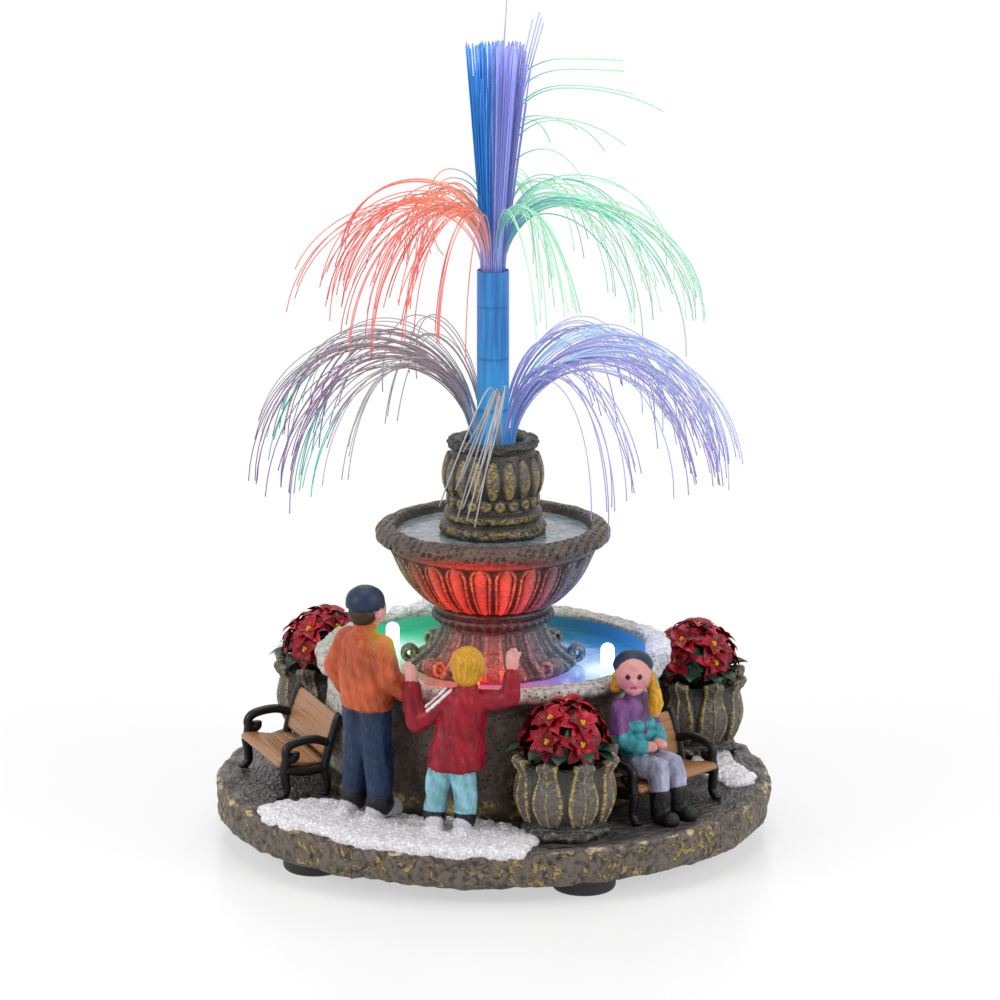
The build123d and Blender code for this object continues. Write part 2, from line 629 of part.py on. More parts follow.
def collar(inner_radius, outer_radius, base_z, sector):
    """The slice of the backing ring that a bunch of fibres is set in."""
    with BuildPart() as ring:
        with BuildSketch(Plane.XY.offset(base_z)):
            with BuildLine():
                outer = CenterArc((0, 0), outer_radius, sector[0], sector[1] - sector[0])
                inner = CenterArc((0, 0), inner_radius, sector[0], sector[1] - sector[0])
                Line(outer @ 0, inner @ 0)
                Line(outer @ 1, inner @ 1)
            make_face()
        extrude(amount=COLLAR_THICKNESS)
    return ring.part


def spray(rows, sector, base_z, margin, fall_turns, lift_turn):
    """A bunch of arched fibres fused to its slice of collar; each row is root, rise, lift and fall lengths."""
    fibres = []
    for row, (root_radius, rise, lift_radius, fall_radius) in enumerate(rows):
        shapes = [strand(arch(root_radius, base_z + COLLAR_THICKNESS / 2, rise, lift_radius, lift_turn,
                              fall_radius, turn)) for turn in fall_turns]
        for k, angle in enumerate(spread(root_radius, sector)):
            fibres.append(Rot(0, 0, angle) * shapes[(k + row) % len(shapes)])
    roots = [row[0] for row in rows]
    with BuildPart() as bunch:
        add(collar(min(roots) - margin, max(roots) + margin, base_z, sector))
        add(fibres, clean=False)
    return bunch


lower_rows = tuple(zip(LOWER_ROW_RADII, LOWER_RISE, LOWER_LIFT_RADII, LOWER_FALL_RADII))
root_margin = STRAND_RADIUS + RUN_FIT
for side, sector in LOWER_SECTORS.items():
    rows = lower_rows[:FRONT_ROWS] if side == "front" else lower_rows
    save(spray(rows, sector, FERRULE_TOP_Z, root_margin, LOWER_FALL_TURNS, LOWER_LIFT_TURN), f"lower_{side}_spray")

upper_rows = tuple(zip(UPPER_ROW_RADII, UPPER_RISE, UPPER_LIFT_RADII, UPPER_FALL_RADII))
for side, sector in UPPER_SECTORS.items():
    save(spray(upper_rows, sector, CORE_TOP_Z, STRAND_RADIUS, UPPER_FALL_TURNS, UPPER_LIFT_TURN),
         f"upper_{side}_spray")

brush_radius = BRUSH_RINGS * BRUSH_RING_PITCH
brush_fibres = [strand(((0, CORE_TOP_Z + COLLAR_THICKNESS / 2), (0, CORE_TOP_Z + BRUSH_CENTRE_HEIGHT)))]
for ring in range(1, BRUSH_RINGS + 1):
    root = ring * BRUSH_RING_PITCH
    for k in range(ring * BRUSH_RING_STRANDS):
        height = BRUSH_HEIGHTS[(k + ring) % len(BRUSH_HEIGHTS)]
        lean = BRUSH_TOP_RADIUS * root / brush_radius
        fibre = strand((
            (root, CORE_TOP_Z + COLLAR_THICKNESS / 2),
            (root, CORE_TOP_Z + BRUSH_STRAIGHT_HEIGHT),
            (lean, CORE_TOP_Z + height),
        ))
        brush_fibres.append(Rot(0, 0, 360 * k / (ring * BRUSH_RING_STRANDS)) * fibre)
with BuildPart() as crown_brush:
    with BuildSketch(Plane.XY.offset(CORE_TOP_Z)):
        Circle(brush_radius + STRAND_RADIUS)
    extrude(amount=COLLAR_THICKNESS)
    add(brush_fibres, clean=False)
save(crown_brush, "crown_brush")

# Planters with leaves and blossoms
planter_leaf = lemon(PLANTER_LEAF_LENGTH, PLANTER_LEAF_HALF_WIDTH)
soil_z = GROUND_Z + PLANTER_HEIGHT - PLANTER_SOIL_DROP
foliage_z = soil_z + FOLIAGE_LIFT


def pointed_leaf(length, width, thickness):
    """A flat pointed leaf along X, from its stalk end at the origin."""
    with BuildPart() as leaf:
        with BuildSketch():
            with BuildLine():
                edge = ThreePointArc((0, 0), (length / 2, width / 2), (length, 0))
                ThreePointArc(edge @ 1, (length / 2, -width / 2), edge @ 0)
            make_face()
        extrude(amount=thickness)
    return leaf.part


def bloom():
    """A star of pointed petals with a button in the middle, facing up."""
    petal_blade = pointed_leaf(BLOOM_RADIUS, BLOOM_PETAL_WIDTH, BLOOM_THICKNESS)
    with BuildPart() as flower:
        with BuildSketch():
            Circle(2 * BLOOM_BUTTON_RADIUS)
        extrude(amount=BLOOM_THICKNESS)
        with PolarLocations(0, BLOOM_PETALS):
            add(petal_blade)
        with BuildSketch(Plane.XY.offset(BLOOM_THICKNESS)):
            Circle(BLOOM_BUTTON_RADIUS)
        extrude(amount=BLOOM_THICKNESS)
    return flower.part


green_leaf = pointed_leaf(LEAF_LENGTH, LEAF_WIDTH, LEAF_THICKNESS)
flower_head = bloom()
for side, angle in PLANTER_ANGLES.items():
    place = Pos(*around(PLANTER_CIRCLE_RADIUS, angle), 0) * Rot(0, 0, angle)
    with BuildPart() as planter:
        with BuildSketch(Plane.XZ):
            with BuildLine():
                foot = Line((0, GROUND_Z), (PLANTER_FOOT_RADIUS, GROUND_Z))
                band = Line(foot @ 1, (PLANTER_FOOT_RADIUS, GROUND_Z + PLANTER_FOOT_BAND))
                waist = Line(band @ 1, (PLANTER_WAIST_RADIUS, GROUND_Z + PLANTER_WAIST_HEIGHT))
                belly = Polyline(
                    waist @ 1,
                    (PLANTER_BELLY_RADIUS, GROUND_Z + PLANTER_BELLY_HEIGHT),
                    (PLANTER_NECK_RADIUS, GROUND_Z + PLANTER_NECK_HEIGHT),
                )
                rim_low = (PLANTER_RIM_RADIUS, GROUND_Z + PLANTER_HEIGHT - PLANTER_RIM_BAND)
                flare = Line(belly @ 1, rim_low)
                lip = Line(flare @ 1, (PLANTER_RIM_RADIUS, GROUND_Z + PLANTER_HEIGHT))
                top = Line(lip @ 1, (PLANTER_MOUTH_RADIUS, GROUND_Z + PLANTER_HEIGHT))
                mouth = Line(top @ 1, (PLANTER_MOUTH_RADIUS, soil_z))
                Polyline(mouth @ 1, (0, soil_z), foot @ 0)
            make_face()
        revolve(axis=Axis.Z)
        leaf_circle = PLANTER_BELLY_RADIUS + PLANTER_LEAF_PROUD - PLANTER_LEAF_HALF_WIDTH
        with PolarLocations(leaf_circle, PLANTER_LEAF_COUNT):
            with Locations((0, 0, GROUND_Z + PLANTER_BELLY_HEIGHT)):
                add(planter_leaf)
    planter.part.position = place.position
    save(planter, f"planter_{side}")

    with BuildPart() as leaves:
        with BuildSketch(Plane.XY.offset(soil_z)):
            Circle(PLANTER_MOUTH_RADIUS - SET_FIT)
        extrude(amount=FOLIAGE_LIFT)
        with Locations((0, 0, foliage_z)):
            Sphere(FOLIAGE_RADIUS, arc_size1=0, align=(Align.CENTER, Align.CENTER, Align.MIN))
        stalk = Pos(FOLIAGE_RADIUS - LEAF_WIDTH / 2, 0, foliage_z - LEAF_DROP) * Rot(0, -LEAF_TILT, 0)
        with Locations(*[Rot(0, 0, 360 * k / LEAF_COUNT) * stalk for k in range(LEAF_COUNT)]):
            add(green_leaf)
    leaves.part.position = place.position
    save(leaves, f"leaves_{side}")

    with BuildPart() as blossoms:
        for count, tilt in BLOOM_RINGS:
            with Locations(*[Pos(0, 0, foliage_z) * Rot(0, 0, 360 * k / count) * Rot(0, tilt, 0)
                             * Pos(0, 0, FOLIAGE_RADIUS + BLOOM_LIFT) for k in range(count)]):
                add(flower_head)
    blossoms.part.position = place.position
    save(blossoms, f"blossoms_{side}")


# Benches: cast ends with curled arms, boards between them
def bench_place(side):
    """Where a bench stands: its middle on the ground, facing away from the pool."""
    place_angle, facing = BENCH_ANGLES[side]
    return Pos(*around(BENCH_CIRCLE_RADII[side], place_angle), GROUND_Z) * Rot(0, 0, facing)


half_spread = BENCH_LEG_SPREAD / 2
seat_top = BENCH_SEAT_HEIGHT
end_offset = BENCH_LENGTH / 2 - BENCH_END_THICKNESS
for side in BENCH_ANGLES:
    place = bench_place(side)
    with BuildPart() as bench_ends:
        with BuildSketch(Plane.XZ) as frame:
            rail_z = seat_top - BENCH_BOARD - BENCH_STROKE / 2
            arm_z = BENCH_ARM_HEIGHT - BENCH_STROKE / 2
            back_top = (-half_spread - BENCH_BACK_RAKE, BENCH_BACK_HEIGHT - BENCH_STROKE / 2)
            with BuildLine() as rear_leg:
                Polyline((-half_spread, 0), (-half_spread, rail_z), back_top)
            trace(rear_leg.line, BENCH_STROKE)
            with BuildLine() as front_leg:
                Polyline((half_spread, 0), (half_spread, rail_z), (-half_spread, rail_z))
            trace(front_leg.line, BENCH_STROKE)
            with BuildLine() as arm:
                reach = Line((-half_spread - BENCH_STROKE / 2, arm_z), (half_spread - BENCH_STROKE, arm_z))
                nose = JernArc(reach @ 1, (1, 0), BENCH_SCROLL_RADIUS, -170)
                Line(nose @ 1, (half_spread - BENCH_STROKE, rail_z))
            trace(arm.line, BENCH_STROKE)
            with Locations(back_top):
                Circle(BENCH_STROKE / 2)
        bench_end = extrude(frame.sketch, amount=-BENCH_END_THICKNESS, mode=Mode.PRIVATE)
        with Locations((0, -BENCH_LENGTH / 2, 0), (0, end_offset, 0)):
            add(bench_end)
    bench_ends.part.location = place
    save(bench_ends, f"bench_{side}_ends")

    board_length = BENCH_LENGTH - 2 * BENCH_END_THICKNESS
    seat_front = half_spread + BENCH_STROKE / 2
    with BuildPart() as bench_seat:
        with BuildSketch(Plane.XZ.offset(-end_offset)):
            with Locations((0, seat_top - BENCH_BOARD / 2)):
                Rectangle(2 * seat_front, BENCH_BOARD)
        extrude(amount=board_length)
        fillet(bench_seat.edges().filter_by(Axis.Y), BENCH_SEAT_EDGE)
    bench_seat.part.location = place
    save(bench_seat, f"bench_{side}_seat")

    rake_angle = math.degrees(math.atan2(BENCH_BACK_RAKE, BENCH_BACK_HEIGHT - seat_top))
    with BuildPart() as bench_back:
        back_low = (-half_spread - BENCH_STROKE / 2, 0, BENCH_BACK_HEIGHT - BENCH_BACK_BOARD_HEIGHT / 2)
        with BuildSketch(Plane(origin=back_low, x_dir=(0, 1, 0), z_dir=(1, 0, 0)).rotated((0, -rake_angle, 0))):
            RectangleRounded(board_length, BENCH_BACK_BOARD_HEIGHT, BENCH_BOARD)
        extrude(amount=BENCH_BOARD / 2, both=True)
    bench_back.part.location = place
    save(bench_back, f"bench_{side}_back")


# Figures
def figure_place(radius, angles, ground):
    """Where a figure stands, and the way it faces."""
    return Pos(*around(radius, angles[0]), ground) * Rot(0, 0, angles[1])


sole_cut = BOY_HEIGHT / 2
with BuildPart() as standing_boy:
    body(((0.43, 0.0, 0.0, 0.095, 0.125), (0.55, 0.0, 0.0, 0.092, 0.120), (0.70, -0.005, 0.0, 0.09, 0.122),
          (0.78, -0.005, 0.0, 0.062, 0.105), (0.83, 0.0, 0.0, 0.04, 0.045)), BOY_HEIGHT)
    for hand in (-1, 1):
        limb((((0.0, 0.055 * hand, 0.46), 0.074), ((0.01, 0.07 * hand, 0.25), 0.066),
              ((-0.005, 0.085 * hand, 0.055), 0.054)), BOY_HEIGHT)
        boot(-0.03, 0.075, 0.085 * hand, 0.05, BOY_HEIGHT)
        limb((((-0.005, 0.105 * hand, 0.745), 0.058), ((-0.03, 0.148 * hand, 0.61), 0.053),
              ((0.055, 0.135 * hand, 0.50), 0.04)), BOY_HEIGHT)
    limb((((0.0, 0.0, 0.80), 0.05), ((0.01, 0.0, 0.91), 0.09)), BOY_HEIGHT)
    with BuildSketch(Plane.XY):
        Circle(sole_cut)
    extrude(amount=-sole_cut, mode=Mode.SUBTRACT)
standing_boy.part.location = figure_place(BOY_CIRCLE_RADIUS, BOY_ANGLES, GROUND_Z + SNOW_THICKNESS)
save(standing_boy, "standing_boy")

with BuildPart() as waving_child:
    body(((0.32, 0.0, -0.03, 0.125, 0.155), (0.45, 0.0, -0.045, 0.115, 0.14), (0.60, 0.0, -0.07, 0.10, 0.124),
          (0.73, 0.0, -0.09, 0.08, 0.10), (0.80, 0.0, -0.095, 0.045, 0.05)), CHILD_HEIGHT)
    for hand in (-1, 1):
        limb((((0.0, 0.06 * hand, 0.36), 0.078), ((0.0, 0.075 * hand, 0.20), 0.07),
              ((-0.005, 0.08 * hand, 0.06), 0.06)), CHILD_HEIGHT)
        boot(-0.035, 0.07, 0.08 * hand, 0.056, CHILD_HEIGHT)
    limb((((0.0, 0.0, 0.69), 0.062), ((0.0, 0.18, 0.56), 0.056), ((0.015, 0.215, 0.83), 0.042)), CHILD_HEIGHT)
    limb((((0.0, -0.175, 0.70), 0.06), ((0.0, -0.33, 0.735), 0.055), ((0.015, -0.336, 0.91), 0.042)), CHILD_HEIGHT)
    limb((((0.0, -0.095, 0.77), 0.05), ((0.01, -0.10, 0.895), 0.102)), CHILD_HEIGHT)
    with BuildSketch(Plane.XY):
        Circle(sole_cut)
    extrude(amount=-sole_cut, mode=Mode.SUBTRACT)
waving_child.part.location = figure_place(CHILD_CIRCLE_RADIUS, CHILD_ANGLES, GROUND_Z + SNOW_THICKNESS)
save(waving_child, "waving_child")

girl_seat = (BENCH_SEAT_HEIGHT + GIRL_SEAT_GAP) / GIRL_HEIGHT
with BuildPart() as seated_girl:
    hips = girl_seat + 0.085
    body(((girl_seat + 0.01, 0.0, 0.0, 0.085, 0.12), (hips + 0.06, 0.0, 0.0, 0.10, 0.125),
          (0.55, -0.005, 0.0, 0.095, 0.12), (0.68, -0.005, 0.0, 0.085, 0.12), (0.76, 0.0, 0.0, 0.045, 0.05)),
         GIRL_HEIGHT)
    for hand in (-1, 1):
        limb((((0.02, 0.06 * hand, hips), 0.084), ((0.25, 0.075 * hand, hips + 0.005), 0.072),
              ((0.285, 0.08 * hand, 0.07), 0.06)), GIRL_HEIGHT)
        boot(0.265, 0.36, 0.08 * hand, 0.058, GIRL_HEIGHT)
        limb((((-0.01, 0.12 * hand, 0.655), 0.06), ((0.02, 0.165 * hand, 0.49), 0.054),
              ((0.16, 0.05 * hand, 0.46), 0.042)), GIRL_HEIGHT)
    limb((((0.0, 0.0, 0.74), 0.055), ((0.01, 0.0, 0.89), 0.11)), GIRL_HEIGHT)
    with BuildSketch(Plane.XY):
        Circle(sole_cut)
    extrude(amount=-sole_cut, mode=Mode.SUBTRACT)
seated_girl.part.location = bench_place("right") * Pos(0, GIRL_BENCH_OFFSET, 0)
save(seated_girl, "seated_girl")


# Snow drifts
def drift(shares, radius, base_z, thickness, edge):
    """A low drift: an outline of angles and shares of a radius, raised and rounded over."""
    outline = [around(radius * share, angle) for angle, share in shares]
    with BuildPart() as snow:
        with BuildSketch(Plane.XY.offset(base_z)):
            with BuildLine():
                Spline(*outline, periodic=True)
            make_face()
        extrude(amount=thickness)
        fillet(snow.edges().group_by(Axis.Z)[-1], edge)
    return snow


snow_front = drift(SNOW_FRONT_SHARES, PLINTH_RADIUS, GROUND_Z, SNOW_THICKNESS, SNOW_EDGE)
save(snow_front, "snow_front")
snow_right = drift(SNOW_RIGHT_SHARES, PLINTH_RADIUS, GROUND_Z, SNOW_THICKNESS, SNOW_EDGE)
save(snow_right, "snow_right")

rim_middle = (POOL_RIM_RADIUS + POOL_RIM_INNER_RADIUS) / 2
for side, sector in RIM_SNOW_SECTORS.items():
    with BuildPart() as rim_snow:
        with BuildSketch(Plane.XZ.rotated((0, 0, sector[0]))):
            with BuildLine():
                crest = ThreePointArc(
                    (rim_middle - RIM_SNOW_WIDTH / 2, POOL_TOP_Z),
                    (rim_middle, POOL_TOP_Z + RIM_SNOW_THICKNESS),
                    (rim_middle + RIM_SNOW_WIDTH / 2, POOL_TOP_Z),
                )
                Line(crest @ 1, crest @ 0)
            make_face()
        revolve(axis=Axis.Z, revolution_arc=sector[1] - sector[0])
    save(rim_snow, f"snow_rim_{side}")

# Bottom cover, door and hinge
slot_length = KNOB_LENGTH + SWITCH_TRAVEL + 2 * SIDE_GAP
with BuildPart() as bottom_cover:
    with BuildSketch(Plane.XY.offset(COVER_Z)):
        Circle(COVER_RADIUS)
        Rectangle(DOOR_LENGTH + 2 * DOOR_GAP, DOOR_WIDTH + 2 * DOOR_GAP, mode=Mode.SUBTRACT)
        with Locations((0, -DOOR_WIDTH / 2)):
            Circle(FINGER_NOTCH_RADIUS, mode=Mode.SUBTRACT)
        with Locations((0, SWITCH_Y)):
            Rectangle(slot_length, KNOB_WIDTH + 2 * SIDE_GAP, mode=Mode.SUBTRACT)
        with PolarLocations(COVER_SCREW_CIRCLE_RADIUS, COVER_SCREW_COUNT, 45):
            Circle(SCREW_SHANK_RADIUS + SET_FIT, mode=Mode.SUBTRACT)
    extrude(amount=COVER_THICKNESS)
    with BuildSketch(Plane.XY.offset(COVER_Z)):
        with PolarLocations(COVER_SCREW_CIRCLE_RADIUS, COVER_SCREW_COUNT, 45):
            Circle(SCREW_HEAD_RADIUS + SET_FIT)
    extrude(amount=SCREW_HEAD_HEIGHT, mode=Mode.SUBTRACT)
    with BuildSketch(Plane.YZ):
        with Locations((HINGE_Y, HINGE_Z)):
            Circle(HINGE_PIN_RADIUS + RUN_FIT / 2)
    extrude(amount=(DOOR_LENGTH + HINGE_PIN_LENGTH) / 2, both=True, mode=Mode.SUBTRACT)
save(bottom_cover, "bottom_cover")

with BuildPart() as cover_screws:
    with BuildSketch(Plane.XY.offset(COVER_Z)):
        with PolarLocations(COVER_SCREW_CIRCLE_RADIUS, COVER_SCREW_COUNT, 45):
            Circle(SCREW_HEAD_RADIUS)
    extrude(amount=SCREW_HEAD_HEIGHT)
    with BuildSketch(Plane.XY.offset(COVER_Z)):
        with PolarLocations(COVER_SCREW_CIRCLE_RADIUS, COVER_SCREW_COUNT, 45):
            Circle(SCREW_SHANK_RADIUS)
    extrude(amount=SCREW_LENGTH)
    with BuildSketch(Plane.XY.offset(COVER_Z)):
        with PolarLocations(COVER_SCREW_CIRCLE_RADIUS, COVER_SCREW_COUNT, 45):
            Rectangle(2 * SCREW_SHANK_RADIUS, SCREW_SLOT)
            Rectangle(SCREW_SLOT, 2 * SCREW_SHANK_RADIUS)
    extrude(amount=SCREW_HEAD_HEIGHT / 2, mode=Mode.SUBTRACT)
save(cover_screws, "cover_screws")

with BuildPart() as battery_door:
    with BuildSketch(Plane.YZ):
        with Locations((-COVER_THICKNESS / 4, HINGE_Z)):
            Rectangle(DOOR_WIDTH - COVER_THICKNESS / 2, COVER_THICKNESS)
        with Locations((HINGE_Y, HINGE_Z)):
            Circle(COVER_THICKNESS / 2)
    extrude(amount=DOOR_LENGTH / 2, both=True)
    with BuildSketch(Plane.YZ):
        with Locations((HINGE_Y, HINGE_Z)):
            Circle(HINGE_PIN_RADIUS + RUN_FIT)
    extrude(amount=DOOR_LENGTH / 2, both=True, mode=Mode.SUBTRACT)
save(battery_door, "battery_door")

with BuildPart() as hinge_pins:
    for end in (-1, 1):
        with BuildSketch(Plane.YZ.offset(end * (DOOR_LENGTH / 2 - HINGE_PIN_LENGTH / 2))):
            with Locations((HINGE_Y, HINGE_Z)):
                Circle(HINGE_PIN_RADIUS)
        extrude(amount=end * HINGE_PIN_LENGTH)
save(hinge_pins, "hinge_pins")

# Battery tray with cells and contacts
with BuildPart() as battery_tray:
    with BuildSketch(Plane.XY.offset(TRAY_Z)):
        Rectangle(TRAY_LENGTH + 2 * TRAY_WALL, TRAY_WIDTH + 2 * TRAY_WALL)
    extrude(amount=TRAY_HEIGHT)
    with BuildSketch(Plane.XY.offset(TRAY_Z)):
        Rectangle(TRAY_LENGTH, TRAY_WIDTH)
    extrude(amount=TRAY_HEIGHT - TRAY_WALL, mode=Mode.SUBTRACT)
    with BuildSketch(Plane.XY.offset(TRAY_TOP_Z)):
        with GridLocations(POST_SPREAD_X, POST_SPREAD_Y, 2, 2):
            Circle(POST_RADIUS)
    extrude(amount=POST_HEIGHT)
    with BuildSketch(Plane.XY.offset(BOARD_Z)):
        with GridLocations(POST_SPREAD_X, POST_SPREAD_Y, 2, 2):
            Circle(BOARD_SCREW_RADIUS + RUN_FIT)
    extrude(amount=-BOARD_SCREW_LENGTH, mode=Mode.SUBTRACT)
    with BuildSketch(Plane.XY.offset(TRAY_TOP_Z)):
        for end in (-1, 1):
            with Locations((end * (TRAY_LENGTH / 2 - LEAD_RADIUS), end * CELL_PITCH)):
                Circle(LEAD_RADIUS + SET_FIT)
    extrude(amount=-TRAY_WALL, mode=Mode.SUBTRACT)
save(battery_tray, "battery_tray")

cell_ends = []
for k in range(CELL_COUNT):
    cell_ends.append((k % 2 * 2 - 1, (k - (CELL_COUNT - 1) / 2) * CELL_PITCH))

plate_face = TRAY_LENGTH / 2 - CONTACT_THICKNESS
with BuildPart() as battery_cells:
    for way, cell_y in cell_ends:
        nub_tip = Plane(origin=(way * plate_face, cell_y, CELL_Z), z_dir=(-way, 0, 0))
        with BuildSketch(nub_tip):
            Circle(CELL_NUB_RADIUS)
        extrude(amount=CELL_NUB_LENGTH)
        with BuildSketch(nub_tip.offset(CELL_NUB_LENGTH)):
            Circle(CELL_RADIUS)
        extrude(amount=CELL_LENGTH - CELL_NUB_LENGTH)
save(battery_cells, "battery_cells")

plate_z = CELL_Z
with BuildPart() as plate_contacts:
    for way, cell_y in cell_ends:
        with BuildSketch(Plane(origin=(way * TRAY_LENGTH / 2, cell_y, plate_z), z_dir=(-way, 0, 0))):
            Rectangle(CONTACT_HEIGHT, CONTACT_WIDTH)
        extrude(amount=CONTACT_THICKNESS)
save(plate_contacts, "plate_contacts")

spring_reach = TRAY_LENGTH - CONTACT_THICKNESS - CELL_LENGTH
with BuildPart() as spring_contacts:
    for way, cell_y in cell_ends:
        wall_x = -way * (TRAY_LENGTH / 2 - CONTACT_THICKNESS / 2)
        bow_x = -way * (TRAY_LENGTH / 2 - spring_reach + CONTACT_THICKNESS / 2)
        with BuildSketch(Plane.XZ.offset(-cell_y)) as leaf:
            with BuildLine() as bow:
                low = (wall_x, plate_z - CONTACT_HEIGHT / 2)
                high = (wall_x, plate_z + CONTACT_HEIGHT / 2)
                ThreePointArc(low, (bow_x, plate_z), high)
            trace(bow.line, CONTACT_THICKNESS)
        extrude(amount=CONTACT_WIDTH / 2, both=True)
    with BuildSketch(Plane.XY.offset(TRAY_Z)):
        Rectangle(TRAY_LENGTH, TRAY_WIDTH)
    extrude(amount=TRAY_HEIGHT - TRAY_WALL, mode=Mode.INTERSECT)
save(spring_contacts, "spring_contacts")

lead_start = plate_z + CONTACT_HEIGHT / 2 + CONTACT_THICKNESS
with BuildPart() as battery_leads:
    with BuildSketch(Plane.XY.offset(lead_start)):
        for end in (-1, 1):
            with Locations((end * (TRAY_LENGTH / 2 - LEAD_RADIUS), end * CELL_PITCH)):
                Circle(LEAD_RADIUS)
    extrude(amount=BOARD_Z - lead_start)
save(battery_leads, "battery_leads")

# Circuit board
with BuildPart() as circuit_board:
    with BuildSketch(Plane.XY.offset(BOARD_Z)):
        Circle(BOARD_RADIUS)
        with GridLocations(POST_SPREAD_X, POST_SPREAD_Y, 2, 2):
            Circle(BOARD_SCREW_RADIUS + SET_FIT, mode=Mode.SUBTRACT)
    extrude(amount=BOARD_THICKNESS)
save(circuit_board, "circuit_board")

with BuildPart() as board_screws:
    with BuildSketch(Plane.XY.offset(BOARD_TOP_Z)):
        with GridLocations(POST_SPREAD_X, POST_SPREAD_Y, 2, 2):
            Circle(BOARD_SCREW_HEAD_RADIUS)
    extrude(amount=BOARD_SCREW_HEAD_HEIGHT)
    with BuildSketch(Plane.XY.offset(BOARD_TOP_Z)):
        with GridLocations(POST_SPREAD_X, POST_SPREAD_Y, 2, 2):
            Circle(BOARD_SCREW_RADIUS)
    extrude(amount=-BOARD_SCREW_LENGTH)
save(board_screws, "board_screws")

# Switch on the cover, its knob through the slot
with BuildPart() as switch_housing:
    with BuildSketch(Plane.XY.offset(TRAY_Z)):
        with Locations((0, SWITCH_Y)):
            Rectangle(SWITCH_LENGTH, SWITCH_WIDTH)
    extrude(amount=SWITCH_HEIGHT)
    with BuildSketch(Plane.XY.offset(TRAY_Z)):
        with Locations((0, SWITCH_Y)):
            Rectangle(SWITCH_LENGTH - 2 * SWITCH_WALL, SWITCH_WIDTH - 2 * SWITCH_WALL)
    extrude(amount=SWITCH_HEIGHT - SWITCH_WALL, mode=Mode.SUBTRACT)
save(switch_housing, "switch_housing")

slider_x = -SWITCH_TRAVEL / 2
slider_z = TRAY_Z + SIDE_GAP / 2
with BuildPart() as switch_slider:
    with BuildSketch(Plane.XY.offset(slider_z)):
        with Locations((slider_x, SWITCH_Y)):
            Rectangle(SLIDER_LENGTH, SWITCH_WIDTH - 2 * SWITCH_WALL - 2 * SIDE_GAP)
    extrude(amount=SLIDER_HEIGHT)
    with BuildSketch(Plane.XY.offset(slider_z)):
        with Locations((slider_x, SWITCH_Y)):
            Rectangle(KNOB_LENGTH, KNOB_WIDTH)
    extrude(amount=-KNOB_DROP)
save(switch_slider, "switch_slider")

with BuildPart() as switch_leads:
    with BuildSketch(Plane.XY.offset(TRAY_Z + SWITCH_HEIGHT)):
        with Locations((0, SWITCH_Y)):
            with GridLocations(LEAD_PITCH, 0, 2, 1):
                Circle(LEAD_RADIUS)
    extrude(amount=BOARD_Z - TRAY_Z - SWITCH_HEIGHT)
save(switch_leads, "switch_leads")
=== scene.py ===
"""Looks of the light fountain: painted resin, lit water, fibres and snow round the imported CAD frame."""

import json
import math

import bpy
import numpy as np
from mathutils import Matrix, Vector


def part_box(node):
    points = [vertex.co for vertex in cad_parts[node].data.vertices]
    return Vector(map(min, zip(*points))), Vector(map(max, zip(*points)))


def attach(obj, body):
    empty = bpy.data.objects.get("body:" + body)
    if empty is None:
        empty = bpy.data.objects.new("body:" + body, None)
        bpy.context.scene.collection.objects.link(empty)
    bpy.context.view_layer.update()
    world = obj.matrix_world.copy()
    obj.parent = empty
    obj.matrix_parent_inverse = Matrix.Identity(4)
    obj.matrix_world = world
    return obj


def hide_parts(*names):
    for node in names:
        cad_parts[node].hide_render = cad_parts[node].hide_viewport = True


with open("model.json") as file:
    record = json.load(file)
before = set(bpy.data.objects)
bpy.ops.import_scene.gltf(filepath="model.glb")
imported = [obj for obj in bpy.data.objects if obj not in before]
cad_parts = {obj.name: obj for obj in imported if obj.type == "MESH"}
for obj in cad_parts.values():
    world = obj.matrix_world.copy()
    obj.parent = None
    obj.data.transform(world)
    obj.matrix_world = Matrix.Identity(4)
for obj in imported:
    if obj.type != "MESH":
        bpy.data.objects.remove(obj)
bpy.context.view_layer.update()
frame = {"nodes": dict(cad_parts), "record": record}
NODES = frame["nodes"]
SLOTS = {entry["node"]: entry["material_slot"] for entry in frame["record"]["subparts"]}
ROOT = "fountain"
TURN = 2 * math.pi
BARE = (1, 1, 1)
UNLIT = (0, 0, 0)


def spot(node):
    """Middle of a CAD node's box, in millimetres."""
    low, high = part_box(node)
    return (np.array(low) + np.array(high)) * 500


def level(node, end):
    """Lowest (0) or highest (1) height of a CAD node, in millimetres."""
    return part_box(node)[end][2] * 1000


GROUND = level("base_plinth", 1)
POOL_TOP = level("pool_basin", 1)
POOL_WATER = level("pool_water", 1)
BOWL_SEAT = level("bowl", 0)
BOWL_WATER = level("bowl_water", 1)
LAMP_RIGHT = spot("pool_led_right")
LAMP_LEFT = spot("pool_led_left")
LAMP_FRONT = spot("pool_led_front")


# Shaping helpers: everything is made in millimetres
def unit(vector):
    """A vector of length one."""
    vector = np.asarray(vector, float)
    return vector / (np.linalg.norm(vector) + 1e-12)


def rough(points, size, seed, octaves=3):
    """Smooth seeded noise from about -1 to 1 at an array of points; size is the width of its lumps."""
    waves = np.random.default_rng(seed)
    total = 0
    for octave in range(octaves):
        for _ in range(5):
            heading = unit(waves.normal(size=3)) * TURN / size * 2**octave
            total = total + np.sin(points @ heading + waves.uniform(0, TURN)) * 0.5**octave
    return total / 3.4


